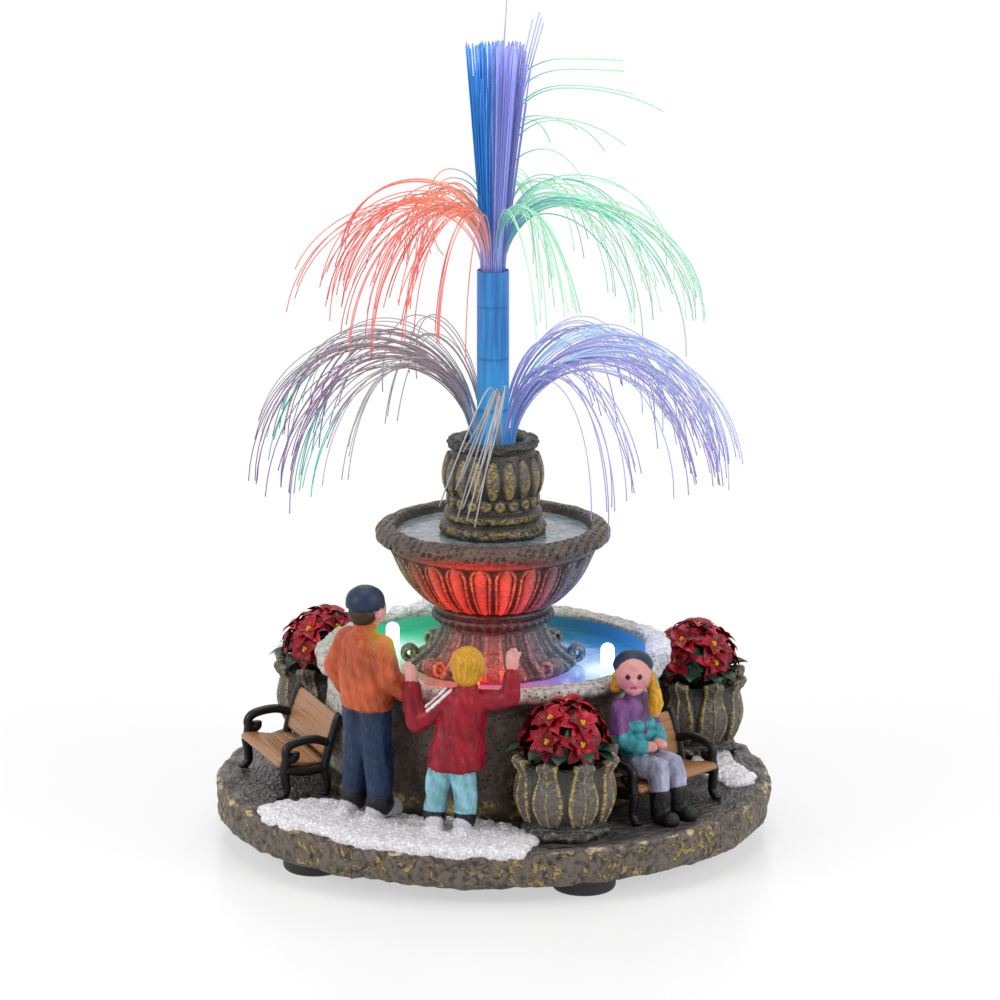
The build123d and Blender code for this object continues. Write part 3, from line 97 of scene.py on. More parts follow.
def flow(knots, steps=8):
    """A smooth line through the knots; a knot given twice stays a corner."""
    knots = np.asarray(knots, float)
    padded = np.vstack([2 * knots[0] - knots[1], knots, 2 * knots[-1] - knots[-2]])
    t = np.linspace(0, 1, steps, endpoint=False)[:, None]
    runs = []
    for a, b, c, d in zip(padded, padded[1:], padded[2:], padded[3:]):
        runs.append(b + 0.5 * t * (c - a + t * (2 * a - 5 * b + 4 * c - d + t * (3 * (b - c) + d - a))))
    return np.vstack(runs + [knots[-1:]])


def dense(corners, step):
    """Points along straight runs, about a step apart, with every corner kept."""
    runs = []
    for a, b in zip(corners, corners[1:]):
        a, b = np.asarray(a, float), np.asarray(b, float)
        count = max(1, int(np.linalg.norm(b - a) / step))
        runs.append(a + (b - a) * np.linspace(0, 1, count, endpoint=False)[:, None])
    return np.vstack(runs + [np.asarray(corners[-1:], float)])


def lathe_line(base, foot, curve, steps, inside):
    """A profile of straight runs, a smooth curve and straight runs again, with heights counted from a base."""
    return np.vstack([dense(foot, 3.0), flow(curve, steps), dense(inside, 3.0)]) + (0, base)


def around(angle, radius, height):
    """Points at angles round Z, for every radius and height."""
    return np.stack([radius * np.cos(angle), radius * np.sin(angle), height + 0 * angle], -1)


def spun(profile, segments, relief, edge=None):
    """Points of a profile of radii and heights turned round Z; relief(angle, profile) pushes them out along it."""
    profile = np.asarray(profile, float)
    slope = np.gradient(profile, axis=0)
    normal = np.stack([slope[:, 1], -slope[:, 0]], 1)
    normal /= np.linalg.norm(normal, axis=1)[:, None] + 1e-9
    angle = np.linspace(0, TURN, segments, endpoint=False)[:, None]
    radius = np.broadcast_to(profile[:, 0], (segments, len(profile))).copy()
    height = np.broadcast_to(profile[:, 1], (segments, len(profile))).copy()
    push = relief(angle, profile[None])
    radius += push * normal[:, 0]
    height += push * normal[:, 1]
    if edge is not None:
        more_radius, more_height = edge(angle, profile[None])
        radius += more_radius
        height += more_height
    return around(angle, radius, height)


def ramp(value, low, high):
    """A smooth step from 0 to 1 between two values."""
    share = np.clip((value - low) / (high - low), 0, 1)
    return share * share * (3 - 2 * share)


def facing(angle_deg, place):
    """The frame of a piece that stands at a place and faces an angle."""
    return Matrix.Translation(Vector(place)) @ Matrix.Rotation(math.radians(angle_deg), 4, "Z")


def moved(points, matrix):
    """Points carried by a matrix."""
    points = np.asarray(points, float)
    m = np.array(matrix)
    return points @ m[:3, :3].T + m[:3, 3]


class Clay:
    """Sheets, balls and tubes with a painted tint, gathered into one mesh."""

    def __init__(self):
        self.points, self.faces, self.tints, self.count = [], [], [], 0

    def grid(self, points, tint, wrap_u=False, wrap_v=False):
        """A sheet points[u][v] with one tint, or a tint for every point."""
        points = np.asarray(points, float)
        rows, columns = points.shape[:2]
        index = np.arange(rows * columns).reshape(rows, columns) + self.count
        if wrap_u:
            index = np.vstack([index, index[:1]])
        if wrap_v:
            index = np.hstack([index, index[:, :1]])
        quads = np.stack([index[:-1, :-1], index[1:, :-1], index[1:, 1:], index[:-1, 1:]], -1)
        self.faces.append(quads.reshape(-1, 4))
        self.points.append(points.reshape(-1, 3))
        self.tints.append(np.broadcast_to(np.asarray(tint, float), (rows, columns, 3)).reshape(-1, 3))
        self.count += rows * columns

    def ball(self, centre, radii, tint, rings=9, sides=14):
        """An ellipsoid."""
        up = np.linspace(-math.pi / 2, math.pi / 2, rings)[None, :]
        round_ = np.linspace(0, TURN, sides, endpoint=False)[:, None]
        shape = np.stack([np.cos(up) * np.cos(round_), np.cos(up) * np.sin(round_), np.sin(up) + 0 * round_], -1)
        shape = shape * np.asarray(radii, float)
        self.grid(shape + np.asarray(centre, float), tint, wrap_u=True)

    def tube(self, path, radius, tint, sides=6, flat=1.0, side=(0.31, 0.87, 0.38)):
        """A run along a path, closed at both ends; radius and tint may change, and flat thins it across its side."""
        path = np.asarray(path, float)
        radius = np.broadcast_to(np.asarray(radius, float), len(path))
        tangent = np.gradient(path, axis=0)
        tangent /= np.linalg.norm(tangent, axis=1)[:, None] + 1e-12
        frames = []
        for t in tangent:
            side = unit(side - t * (side @ t))
            frames.append((side, np.cross(t, side)))
        frames = np.array(frames)
        angle = np.linspace(0, TURN, sides, endpoint=False)[:, None, None]
        ring = frames[None, :, 0] * np.cos(angle) + frames[None, :, 1] * np.sin(angle) * flat
        body = path[None] + ring * radius[None, :, None]
        shape = np.concatenate([np.broadcast_to(path[:1], (sides, 1, 3)), body,
                                np.broadcast_to(path[-1:], (sides, 1, 3))], 1)
        tint = np.broadcast_to(np.asarray(tint, float), (len(path), 3))
        self.grid(shape, np.broadcast_to(np.vstack([tint[:1], tint, tint[-1:]]), shape.shape), wrap_u=True)

    def arrays(self):
        """Points, faces and tints as whole arrays."""
        return np.vstack(self.points), np.vstack(self.faces), np.vstack(self.tints)

    def build(self, name, paint, node):
        """The finished piece, standing for its CAD node."""
        piece(name, *self.arrays(), paint, node)


def piece(name, points, faces, tints, paint, node):
    """A mesh of millimetre points made into an object of the fountain, standing for a node whose CAD piece is hidden.
    """
    mesh = bpy.data.meshes.new(name)
    mesh.from_pydata((points * 0.001).tolist(), [], faces.tolist())
    layer = mesh.color_attributes.new("tint", "FLOAT_COLOR", "POINT")
    layer.data.foreach_set("color", np.hstack([tints, np.ones((len(tints), 1))]).ravel())
    mesh.polygons.foreach_set("use_smooth", [True] * len(mesh.polygons))
    mesh.materials.append(paint)
    obj = bpy.data.objects.new(name, mesh)
    bpy.context.scene.collection.objects.link(obj)
    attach(obj, ROOT)
    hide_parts(node)


def modelled(clay, cell, passes):
    """The clay melted into one skin of small cells and smoothed, as points and faces."""
    points, faces, _ = clay.arrays()
    mesh = bpy.data.meshes.new("clay")
    mesh.from_pydata(points.tolist(), [], faces.tolist())
    obj = bpy.data.objects.new("clay", mesh)
    bpy.context.scene.collection.objects.link(obj)
    melt = obj.modifiers.new("melt", "REMESH")
    melt.mode = "VOXEL"
    melt.voxel_size = cell
    soften = obj.modifiers.new("soften", "SMOOTH")
    soften.iterations = passes
    made = bpy.data.meshes.new_from_object(obj.evaluated_get(bpy.context.evaluated_depsgraph_get()))
    skin = np.zeros(len(made.vertices) * 3)
    made.vertices.foreach_get("co", skin)
    quads = np.array([face.vertices[:] for face in made.polygons if len(face.vertices) == 4])
    bpy.data.objects.remove(obj)
    bpy.data.meshes.remove(made)
    return skin.reshape(-1, 3), quads


# Paints: shader maths is written as Python on wrapped sockets
class Val:
    """A socket of one paint's node tree, or what sums of sockets give."""

    def __init__(self, paint, socket):
        self.paint, self.socket = paint, socket

    def math(self, operation, other=0.0, swap=False):
        """One maths node."""
        feeds = {0: other, 1: self} if swap else {0: self, 1: other}
        return self.paint.node("Math", {"operation": operation}, feeds)

    def __add__(self, other):
        return self.math("ADD", other)

    def __mul__(self, other):
        return self.math("MULTIPLY", other)

    def __sub__(self, other):
        return self.math("SUBTRACT", other)

    def __rsub__(self, other):
        return self.math("SUBTRACT", other, swap=True)

    __radd__, __rmul__ = __add__, __mul__

    def step(self, low, high):
        """A smooth step from 0 at low to 1 at high."""
        feeds = {"Value": self, "From Min": low, "From Max": high}
        return self.paint.node("MapRange", {"interpolation_type": "SMOOTHSTEP"}, feeds)

    def under(self, high, low):
        """A smooth step from 1 below low to 0 above high."""
        return 1.0 - self.step(low, high)


class Tree:
    """A node tree of a material or the world."""

    def __init__(self, owner):
        owner.use_nodes = True
        self.tree = owner.node_tree

    def feed(self, socket, value):
        """Links or sets one input."""
        if isinstance(value, Val):
            self.tree.links.new(value.socket, socket)
        elif socket.type == "RGBA":
            socket.default_value = (*value, 1.0)
        else:
            socket.default_value = value

    def node(self, kind, settings=None, feeds=None, out=0):
        """Makes one node and wraps one of its outputs, or several."""
        made = self.tree.nodes.new("ShaderNode" + kind)
        for key, value in (settings or {}).items():
            setattr(made, key, value)
        for key, value in (feeds or {}).items():
            self.feed(made.inputs[key], value)
        return [Val(self, made.outputs[k]) for k in out] if isinstance(out, tuple) else Val(self, made.outputs[out])

    def seen(self):
        """1 for rays that show the background to the eye, by sight, reflection or glass."""
        eye, gloss, glass = self.node("LightPath", out=("Is Camera Ray", "Is Glossy Ray", "Is Transmission Ray"))
        return eye.math("MAXIMUM", gloss).math("MAXIMUM", glass)


class Paint(Tree):
    """A procedural material under construction."""

    def __init__(self, name):
        self.material = bpy.data.materials.new(name)
        super().__init__(self.material)
        self.shader = self.tree.nodes["Principled BSDF"]
        self.place = self.node("TexCoord", out="Object")
        self.x, self.y, self.z = (axis * 1000.0 for axis in self.node("SeparateXYZ", None, {0: self.place}, (0, 1, 2)))

    def noise(self, size, detail=3.0, twist=0.0, place=None):
        """Cloudy noise with lumps of a size in millimetres."""
        feeds = {"Vector": place or self.place, "Scale": 1000.0 / size, "Detail": detail, "Distortion": twist}
        return self.node("TexNoise", None, feeds)

    def cells(self, size, out="Distance"):
        """Scattered cells of a size in millimetres."""
        return self.node("TexVoronoi", None, {"Vector": self.place, "Scale": 1000.0 / size}, out)

    def tint(self):
        """The colour painted on the points."""
        return self.node("Attribute", {"attribute_name": "tint"}, None, "Color")

    def mix(self, first, second, share, blend="MIX"):
        """Two colours mixed by a share."""
        settings = {"data_type": "RGBA", "blend_type": blend}
        return self.node("Mix", settings, {0: share, 6: first, 7: second}, 2)

    def near(self, point, reach):
        """1 at a point in millimetres, fading to 0 at a reach."""
        feeds = {0: self.place, 1: [c * 0.001 for c in point]}
        gap = self.node("VectorMath", {"operation": "DISTANCE"}, feeds, "Value") * (1000.0 / reach)
        return gap.under(1.0, 0.0)

    def bump(self, height, depth, strength):
        """A bumped normal; depth is the height of a full step in millimetres."""
        return self.node("Bump", None, {"Height": height, "Distance": depth * 0.001, "Strength": strength})

    def done(self, colour, roughness, metal=None, normal=None, glow=None, strength=1.0, coat=None, shine=0.5):
        """Feeds the shader and gives the finished material."""
        feeds = {"Base Color": colour, "Roughness": roughness, "Metallic": metal, "Normal": normal,
                 "Emission Color": glow, "Coat Weight": coat}
        for key, value in feeds.items():
            if value is not None:
                self.feed(self.shader.inputs[key], value)
        self.shader.inputs["Specular IOR Level"].default_value = shine
        if glow is not None:
            self.shader.inputs["Emission Strength"].default_value = strength
        return self.material


def lamp_glow(p, red=1.0, green=1.0, blue=1.0, lift=0.0, spread=1.0):
    """The light that the three pool lamps throw on what stands round them, as a colour."""
    lamps = ((LAMP_FRONT, (1.0, 0.035, 0.02), 42, red), (LAMP_LEFT, (0.05, 0.62, 0.3), 52, green),
             (LAMP_RIGHT, (0.03, 0.28, 0.9), 50, blue))
    parts = []
    for lamp, hue, reach, share in lamps:
        falloff = p.near(lamp + (0, 0, lift), reach * spread)
        parts.append(p.mix(UNLIT, hue, falloff * falloff * share))
    return p.mix(p.mix(parts[0], parts[1], 1.0, "ADD"), parts[2], 1.0, "ADD")


BASE_EDGE = 78.6
MOULDING_TOP = 20.6
RIM_FOOT = 49.2
POOL_BORE = 44.6


def paint_base():
    """Carved dark ground with a dry-brushed ochre stone edge, and a pale ochre line along the top edge that is partly
    paint and partly painted highlight.
    """
    p = Paint("base_stone")
    top = p.z.step(GROUND - 0.7, GROUND - 0.1)
    ring = (p.x * p.x + p.y * p.y).math("SQRT")
    around = p.y.math("ARCTAN2", p.x) * 62.0
    strokes = p.node("CombineXYZ", None, {0: around * 0.0011, 1: ring * 0.0026, 2: p.z * 0.001})
    carve = p.noise(5.0, 3.0, 1.4, strokes)
    grain = p.noise(1.7, 5.0)
    dark = p.mix((0.016, 0.013, 0.014), (0.135, 0.112, 0.106), carve.step(0.36, 0.7))
    stone = p.mix((0.032, 0.026, 0.022), (0.142, 0.115, 0.094), grain.step(0.3, 0.58))
    ridge = (p.noise(6.5, 4.0, 0.8) - 0.5).math("ABSOLUTE")
    veins = ridge.under(0.03, 0.004) * p.noise(13.0, 2.0).step(0.42, 0.58) * grain.step(0.36, 0.5)
    patch = p.noise(17.0, 3.0).step(0.6, 0.72) * grain.step(0.44, 0.6)
    side = p.mix(stone, (0.4, 0.29, 0.075), (veins + patch * 0.5).math("MINIMUM", 1.0))
    # Pale ochre line along the top edge: partly ochre paint, partly a painted highlight where the edge catches the
    # light.
    lip = (ring + p.z - (BASE_EDGE + GROUND)).math("ABSOLUTE")
    edge = lip.under(0.45, 0.05) * ring.step(BASE_EDGE - 1.2, BASE_EDGE) * p.noise(4.0, 3.0).step(0.44, 0.6)
    colour = p.mix(p.mix(side, dark, top), (0.6, 0.46, 0.24), edge)
    normal = p.bump(carve * 1.5 * top + (grain * 0.45 + ridge.under(0.06, 0.0) * 0.5) * (1.0 - top), 1.5, 0.9)
    return p.done(colour, 0.55 - top * 0.23, normal=normal, shine=0.4)


def paint_pool():
    """Pitted pale stone, browner at the front in painted shade, with an ochre moulding, painted lamp light on the rim,
    and an inner wall tinted like the water under painted lamp light.
    """
    p = Paint("pool_stone")
    speck = p.noise(1.5, 5.0)
    wash = p.noise(12.0, 3.0)
    pits = p.cells(1.5).under(0.34, 0.18) * p.noise(3.0, 2.0).step(0.36, 0.5)
    pale = p.mix((0.27, 0.245, 0.215), (0.56, 0.53, 0.49), speck.step(0.3, 0.66))
    # brown is the front's colour in painted shade; shadow is that painted shade, strongest across the front and fading
    # to the sides.
    brown = p.mix((0.034, 0.023, 0.018), (0.12, 0.083, 0.062), (speck * 0.6 + wash * 0.4).step(0.36, 0.62))
    shadow = (p.y * -1.0 + p.x.math("ABSOLUTE") * -0.25 + wash * 14.0 - 7.0).step(14.0, 34.0)
    rim = p.z.step(RIM_FOOT, RIM_FOOT + 1.2)
    colour = p.mix(pale, brown, shadow * p.z.under(RIM_FOOT + 2.4, RIM_FOOT + 1.0))
    moulding = p.mix((0.045, 0.033, 0.012), (0.34, 0.25, 0.055), (speck * 0.5 + wash * 0.5).step(0.44, 0.6))
    colour = p.mix(colour, moulding, p.z.under(MOULDING_TOP + 1.0, MOULDING_TOP))
    ring = (p.x * p.x + p.y * p.y).math("SQRT")
    inside = ring.under(POOL_BORE + 0.6, POOL_BORE)
    pitted = pits * ring.step(POOL_BORE + 1.0, POOL_BORE + 1.8) * p.z.step(MOULDING_TOP + 1.4, MOULDING_TOP + 3.4)
    colour = p.mix(colour, (0.02, 0.017, 0.015), pitted)
    # The inner wall is tinted like the water and takes painted lamp light.
    water_tint_and_lamp_light = inside * p.z.under(RIM_FOOT + 3.2, RIM_FOOT + 2.2)
    colour = p.mix(colour, (0.015, 0.06, 0.075), water_tint_and_lamp_light)
    glow = p.mix(UNLIT, lamp_glow(p, 0.3, 0.22, 0.28), rim)
    glow = p.mix(glow, lamp_glow(p, 0.9, 1.05, 1.1, 0.0, 1.6), water_tint_and_lamp_light)
    normal = p.bump(speck * 0.4 - pits * 0.9, 0.4, 0.7)
    return p.done(colour, 0.55, normal=normal, glow=glow, strength=0.8)


def paint_pool_water():
    """Cast water, lit green, blue and red by the lamps in it."""
    p = Paint("pool_resin")
    wave = p.noise(9.0, 2.0, 1.0)
    colour = p.mix((0.01, 0.045, 0.055), (0.03, 0.1, 0.12), wave.step(0.4, 0.65))
    glow = lamp_glow(p, 0.75, 0.85, 0.85, -4.0, 1.5)
    for lamp, reach in ((LAMP_LEFT, 23.0), (LAMP_RIGHT, 20.0)):
        core = p.near(lamp * (1, 1, 0) + (0, 0, POOL_WATER), reach)
        glow = p.mix(glow, (0.8, 1.0, 1.0), core * core * 0.9)
    glow = p.mix(glow, p.mix(glow, UNLIT, 0.35), wave.step(0.52, 0.74))
    return p.done(colour, 0.16, normal=p.bump(wave, 1.0, 0.4), glow=glow, coat=0.3)


def paint_bowl_water():
    """Pale cast water that catches the sky."""
    p = Paint("bowl_resin")
    wave = p.noise(3.2, 4.0, 1.5)
    colour = p.mix((0.15, 0.19, 0.22), (0.36, 0.41, 0.45), wave.step(0.36, 0.66))
    return p.done(colour, 0.2, normal=p.bump(wave, 0.6, 0.7), coat=0.4)


def paint_carved(name, dark, mid, gold, glow_shares=None, lift=8.0, shade_from=200.0):
    """Painted casting: the tint's red is dry-brushed gold, its green is depth, and the pool lamps may light it."""
    p = Paint(name)
    brushed, raised = p.node("SeparateColor", None, {0: p.tint()}, (0, 1))
    speck = p.noise(1.1, 4.0)
    wash = p.noise(7.0, 3.0)
    pits = p.cells(0.9).under(0.34, 0.16) * wash.step(0.4, 0.56)
    body = p.mix(dark, mid, (raised * 0.75 + speck * 0.7 - 0.25).step(0.05, 0.75))
    dry = brushed.step(0.3, 0.75) * (speck + wash * 0.6).step(0.66, 0.9) * p.noise(0.55, 2.0).step(0.34, 0.56)
    colour = p.mix(p.mix(body, gold, dry), dark, pits * 0.8)
    glow = None
    if glow_shares is not None:
        # Painted lamp light: strongest on raised relief, weaker in pits, patchy with the wash, and gone above
        # shade_from.
        relief = (raised * 0.75 + speck * 0.5 - 0.12).step(0.1, 0.95) * p.z.under(shade_from + 2.5, shade_from)
        relief = relief * (1.0 - pits * 0.5) * (0.35 + wash * 1.1)
        relief_lamp_light = p.mix((0.06, 0.04, 0.04), (1.0, 0.9, 0.75), relief)
        glow = p.mix(lamp_glow(p, *glow_shares, lift), relief_lamp_light, 1.0, "MULTIPLY")
    return p.done(colour, 0.32 + wash * 0.2, normal=p.bump(speck - pits * 0.8, 0.4, 0.8), glow=glow)


def paint_fibre(name, strength):
    """Glossy lit fibre in the colours painted along it."""
    p = Paint(name)
    hue = p.tint()
    return p.done(hue, 0.28, glow=hue, strength=strength)


def paint_figure(name, gloss=0.46, wear_and_highlight=0.3):
    """Hand-painted resin with soft brush marks, pale flecks of painted highlight, and painted lamp light on the boy's
    shoulder and the girl's cheek.
    """
    p = Paint(name)
    brush = p.noise(1.3, 4.0)
    broad = p.noise(4.5, 2.0)
    tint = p.tint()
    worn = (brush * 0.5 + broad * 0.5).under(0.56, 0.36) * wear_and_highlight
    hue = p.mix(tint, p.mix(tint, UNLIT, 0.6), worn)
    # Pale flecks: painted highlights.
    hue = p.mix(hue, p.mix(tint, (1.0, 0.96, 0.9), 0.25), brush.step(0.6, 0.8) * wear_and_highlight * 0.5)
    # Painted lamp light: green on the boy's shoulder from the left pool lamp, purple on the girl's cheek.
    glow = p.mix(UNLIT, (0.26, 0.5, 0.03), p.near(spot("standing_boy") + (6.5, -2.0, 17.0), 8.5))
    glow = p.mix(glow, (0.075, 0.005, 0.11), p.near(spot("seated_girl") + (-9.0, -4.0, 13.0), 10.0))
    return p.done(hue, gloss, normal=p.bump(brush, 0.2, 0.6), glow=glow, strength=0.8, shine=0.28)


def paint_snow():
    """Glittered snow: white with a lilac cast and bright specks, which are painted glints."""
    p = Paint("snow_white")
    grain = p.noise(0.8, 3.0)
    spark = p.node("SeparateColor", None, {0: p.cells(0.5, "Color")}, 1)
    colour = p.mix((0.56, 0.53, 0.57), (0.82, 0.79, 0.82), grain.step(0.3, 0.62))
    colour = p.mix(colour, (0.36, 0.33, 0.4), spark.under(0.14, 0.05) * 0.5)
    # Bright specks: painted glints of the glitter.
    shine = p.mix(UNLIT, (1.0, 1.0, 1.0), spark.step(0.9, 0.96))
    shine = p.mix(shine, lamp_glow(p, 0.0, 1.2, 0.9, 6.0, 0.75), 1.0, "ADD")
    return p.done(colour, 0.5, normal=p.bump(grain, 0.6, 0.8), glow=shine, strength=0.35)


def paint_plain(name, colour, roughness, metal=0.0, grain=0.05, size=1.0, shine=0.5):
    """A moulded or metal piece with a fine grain."""
    p = Paint(name)
    fine = p.noise(size, 3.0)
    shade = p.mix(colour, tuple(c * 0.6 for c in colour), fine.step(0.45, 0.75) * 0.6)
    return p.done(shade, roughness, metal, p.bump(fine, grain, 0.5), shine=shine)


def paint_lamp(name, colour, strength, white=0.85):
    """A lit lens."""
    p = Paint(name)
    lift = p.z.step(POOL_WATER - 1.0, POOL_WATER + 4.0)
    glow = p.mix(colour, (1.0, 1.0, 1.0), lift * white)
    return p.done(glow, 0.15, glow=glow, strength=strength)


def paint_sleeve():
    """Blue film wound round the fibres, glowing faintly in its own colour as painted light."""
    p = Paint("sleeve_blue")
    stretched = p.node("VectorMath", {"operation": "MULTIPLY"}, {0: p.place, 1: (1.0, 1.0, 0.05)})
    streak = p.noise(1.3, 2.0, 0.0, stretched)
    wrap = (p.z * 0.42).math("SINE")
    colour = p.mix((0.008, 0.115, 0.37), (0.025, 0.205, 0.52), streak.step(0.36, 0.66))
    colour = p.mix(colour, (0.06, 0.42, 0.8), p.z.under(146.0, 114.0) * 0.85)
    colour = p.mix(colour, (0.006, 0.075, 0.26), wrap.step(0.96, 1.0) * 0.5)
    # Faint glow in the film's own colour: painted light.
    return p.done(colour, 0.35, normal=p.bump(wrap, 0.2, 0.4), glow=colour, strength=0.25)


def paint_wood():
    """Painted golden-brown boards with fine grain lines, darker in the slat grooves and, as painted shade, on their
    back faces.
    """
    p = Paint("bench_brown")
    # The tint's red is high on board faces, lower in slat grooves, and lower still on back faces as painted shade.
    along = p.node("SeparateColor", None, {0: p.tint()}, 0)
    grain = p.noise(2.6, 4.0, 0.8)
    colour = p.mix((0.1, 0.04, 0.013), (0.345, 0.16, 0.06), (grain * 0.7 + along * 0.45).step(0.36, 0.74))
    return p.done(colour, 0.36, normal=p.bump(grain, 0.25, 0.6))


STONE = paint_base()
POOL_STONE = paint_pool()
CARVED_PEDESTAL = paint_carved("pedestal_stone", (0.016, 0.013, 0.011), (0.122, 0.102, 0.086), (0.42, 0.3, 0.13),
                               (1.45, 0.22, 0.5))
CARVED_BOWL = paint_carved("bowl_stone", (0.012, 0.009, 0.007), (0.098, 0.071, 0.047), (0.4, 0.27, 0.11),
                           (2.5, 0.2, 0.5), 15.0, BOWL_SEAT + 18.4)
CARVED_VASE = paint_carved("vase_stone", (0.014, 0.012, 0.01), (0.09, 0.078, 0.062), (0.38, 0.27, 0.06))
CARVED_PLANTER = paint_carved("planter_stone", (0.018, 0.015, 0.013), (0.12, 0.104, 0.09), (0.48, 0.35, 0.075))
SNOW = paint_snow()
FIGURE = paint_figure("figure_paint")
LEAF = paint_figure("leaf_paint", 0.34, 0.6)
BLOOM = paint_figure("bloom_paint", 0.4, 0.35)
IRON = paint_plain("bench_black", (0.007, 0.007, 0.008), 0.32, 0.0, 0.25, 1.2, 0.25)
WOOD = paint_wood()


# Base and pool
def base_relief(angle, profile):
    """Chipped stone on the outside of the base."""
    radius, height = profile[..., 0], profile[..., 1]
    place = around(angle, radius, height)
    outside = ramp(radius, 70, 79)
    return (rough(place, 16, 3) * 0.45 + rough(place, 5, 4) * 0.25) * outside - 0.25 * outside


base = Clay()
base.grid(spun(dense(((46.2, 5.0), (78.4, 5.0), (79.6, 6.2), (80.0, 8.0), (80.0, 14.2), (79.4, 15.4), (78.0, 16.0),
                      (40.0, 16.0), (40.0, 7.8), (46.2, 7.8), (46.2, 5.0))[:-1], 1.2), 420, base_relief),
          (0.3, 0.3, 0.3), True, True)
base.build("base", STONE, "base_plinth")

pool_profile = np.vstack([
    dense(((40.0, 16.0), (49.4, 16.0)), 2.0),
    flow(((49.6, 16.2), (49.7, 18.4), (48.6, 20.0), (47.6, 21.8), (48.0, 28.0), (48.1, 36.0), (47.5, 43.0),
          (47.3, 45.6), (48.6, 48.0), (50.4, 49.6), (50.7, 50.6), (50.6, 52.2), (49.7, 53.2), (47.4, 53.3),
          (45.2, 53.2), (44.3, 52.4), (44.2, 49.0)), 6),
    dense(((44.2, 46.0), (40.0, 46.0), (40.0, 20.0)), 3.0)])


def pool_relief(angle, profile):
    """Uneven cast wall."""
    radius, height = profile[..., 0], profile[..., 1]
    place = around(angle, radius, height)
    outside = ramp(radius, 44.0, 46.5) * ramp(height, 16.5, 19)
    return (rough(place, 14, 5) * 0.35 + rough(place, 4, 6) * 0.22) * outside


pool = Clay()
pool.grid(spun(pool_profile, 360, pool_relief), (0.4, 0.4, 0.4), True, True)
pool.build("pool_wall", POOL_STONE, "pool_basin")


# Pedestal, bowl and vase
def sector(angle, count, phase=0.0):
    """Where an angle lies across its share of a circle, from -0.5 to 0.5."""
    return (angle / TURN * count + phase) % 1.0 - 0.5


def hump(value, middle, width):
    """A soft ridge of height 1."""
    return np.exp(-(((value - middle) / width) ** 2))


def carved(clay, profile, segments, relief, depth, place=(0, 0, 0), edge=None, closed=True):
    """Adds a turned piece; relief says how far each point stands out and how much gold is brushed on it."""
    profile = np.asarray(profile, float)
    angle = np.linspace(0, TURN, segments, endpoint=False)[:, None]
    push, gold = relief(angle, profile[None])
    shape = spun(profile, segments, lambda *_: push, edge)
    raised = np.clip((push - depth[0]) / (depth[1] - depth[0]), 0, 1)
    tint = np.stack(np.broadcast_arrays(np.clip(gold, 0, 1), raised, raised * 0), -1)
    clay.grid(shape + np.asarray(place, float), tint, True, closed)


SCROLLS = 8
PEDESTAL_RISE = BOWL_SEAT - POOL_WATER
pedestal_profile = lathe_line(
    POOL_WATER, ((4.0, 0.0), (22.0, 0.0)),
    ((23.2, 0.2), (23.0, 1.4), (20.6, 3.0), (17.8, 5.4), (15.8, 8.4), (14.5, 11.4), (14.2, 12.8), (14.6, 13.5),
     (16.6, 13.9), (17.5, 14.9), (17.2, 16.1), (16.0, 16.6), (16.4, 17.2), (16.0, 18.0), (15.2, 18.4)),
    7, ((14.0, PEDESTAL_RISE), (4.0, PEDESTAL_RISE)))


def pedestal_relief(angle, profile):
    """Ribs with raised edges that run down into the scrolls, and a thin rib between them."""
    rise = profile[..., 1] - POOL_WATER
    across = np.abs(sector(angle, SCROLLS, 0.5))
    flare = ramp(rise, 13.2, 11.4) * ramp(rise, -0.5, 1.5) * (1.25 - 0.05 * rise)
    edges = hump(across, 0.17, 0.045)
    slim = hump(across, 0.5, 0.06) + 0.55 * hump(across, 0.36, 0.035)
    rib = 0.75 * hump(across, 0.0, 0.17) + 0.8 * edges + 0.75 * slim
    ring = hump(rise, 15.0, 1.3) * 0.18 * np.cos(angle * 40)
    return rib * flare + ring, (edges + slim * 0.8) * flare * 0.8 + 0.25 * hump(rise, 16.4, 1.2)


pedestal = Clay()
carved(pedestal, pedestal_profile, 480, pedestal_relief, (-0.2, 1.4))
for k in range(SCROLLS):
    turn = math.radians(360 / SCROLLS * k)
    out = np.array((math.cos(turn), math.sin(turn), 0))
    along = np.array((-math.sin(turn), math.cos(turn), 0))
    run = flow(((17.4, 7.4), (19.2, 4.4), (21.4, 2.2), (23.6, 1.3), (25.4, 2.2), (25.5, 4.2), (23.9, 5.1), (22.5, 4.2),
                (22.9, 2.9), (23.8, 3.0)), 5)
    path = run[:, :1] * out + (run[:, 1:] + POOL_WATER) * np.array((0, 0, 1.0))
    share = np.linspace(0, 1, len(path))[:, None]
    pedestal.tube(path, np.linspace(2.0, 2.3, len(path)), np.hstack([0.15 + 0.5 * share, 0.45 + 0 * share, 0 * share]),
                  14, 0.45, along)
    for side in (-1, 1):
        border = path + side * along * np.linspace(1.9, 2.2, len(path))[:, None]
        pedestal.tube(border, np.linspace(0.5, 0.62, len(path)), (0.9, 0.7, 0.0), 7)
pedestal.build("pedestal_column", CARVED_PEDESTAL, "pedestal")

TONGUES = 24
bowl_profile = lathe_line(
    BOWL_SEAT, ((4.0, 0.0), (14.2, 0.0)),
    ((15.2, 0.1), (19.0, 1.9), (22.8, 5.2), (25.7, 9.2), (27.6, 13.0), (28.8, 15.8), (29.6, 17.6), (30.6, 18.5),
     (32.5, 19.0), (33.3, 20.0), (33.2, 21.4), (32.0, 22.6), (29.8, 23.2), (28.4, 22.9), (27.9, 21.9)),
    9, ((27.8, 19.0), (4.0, 19.0)))


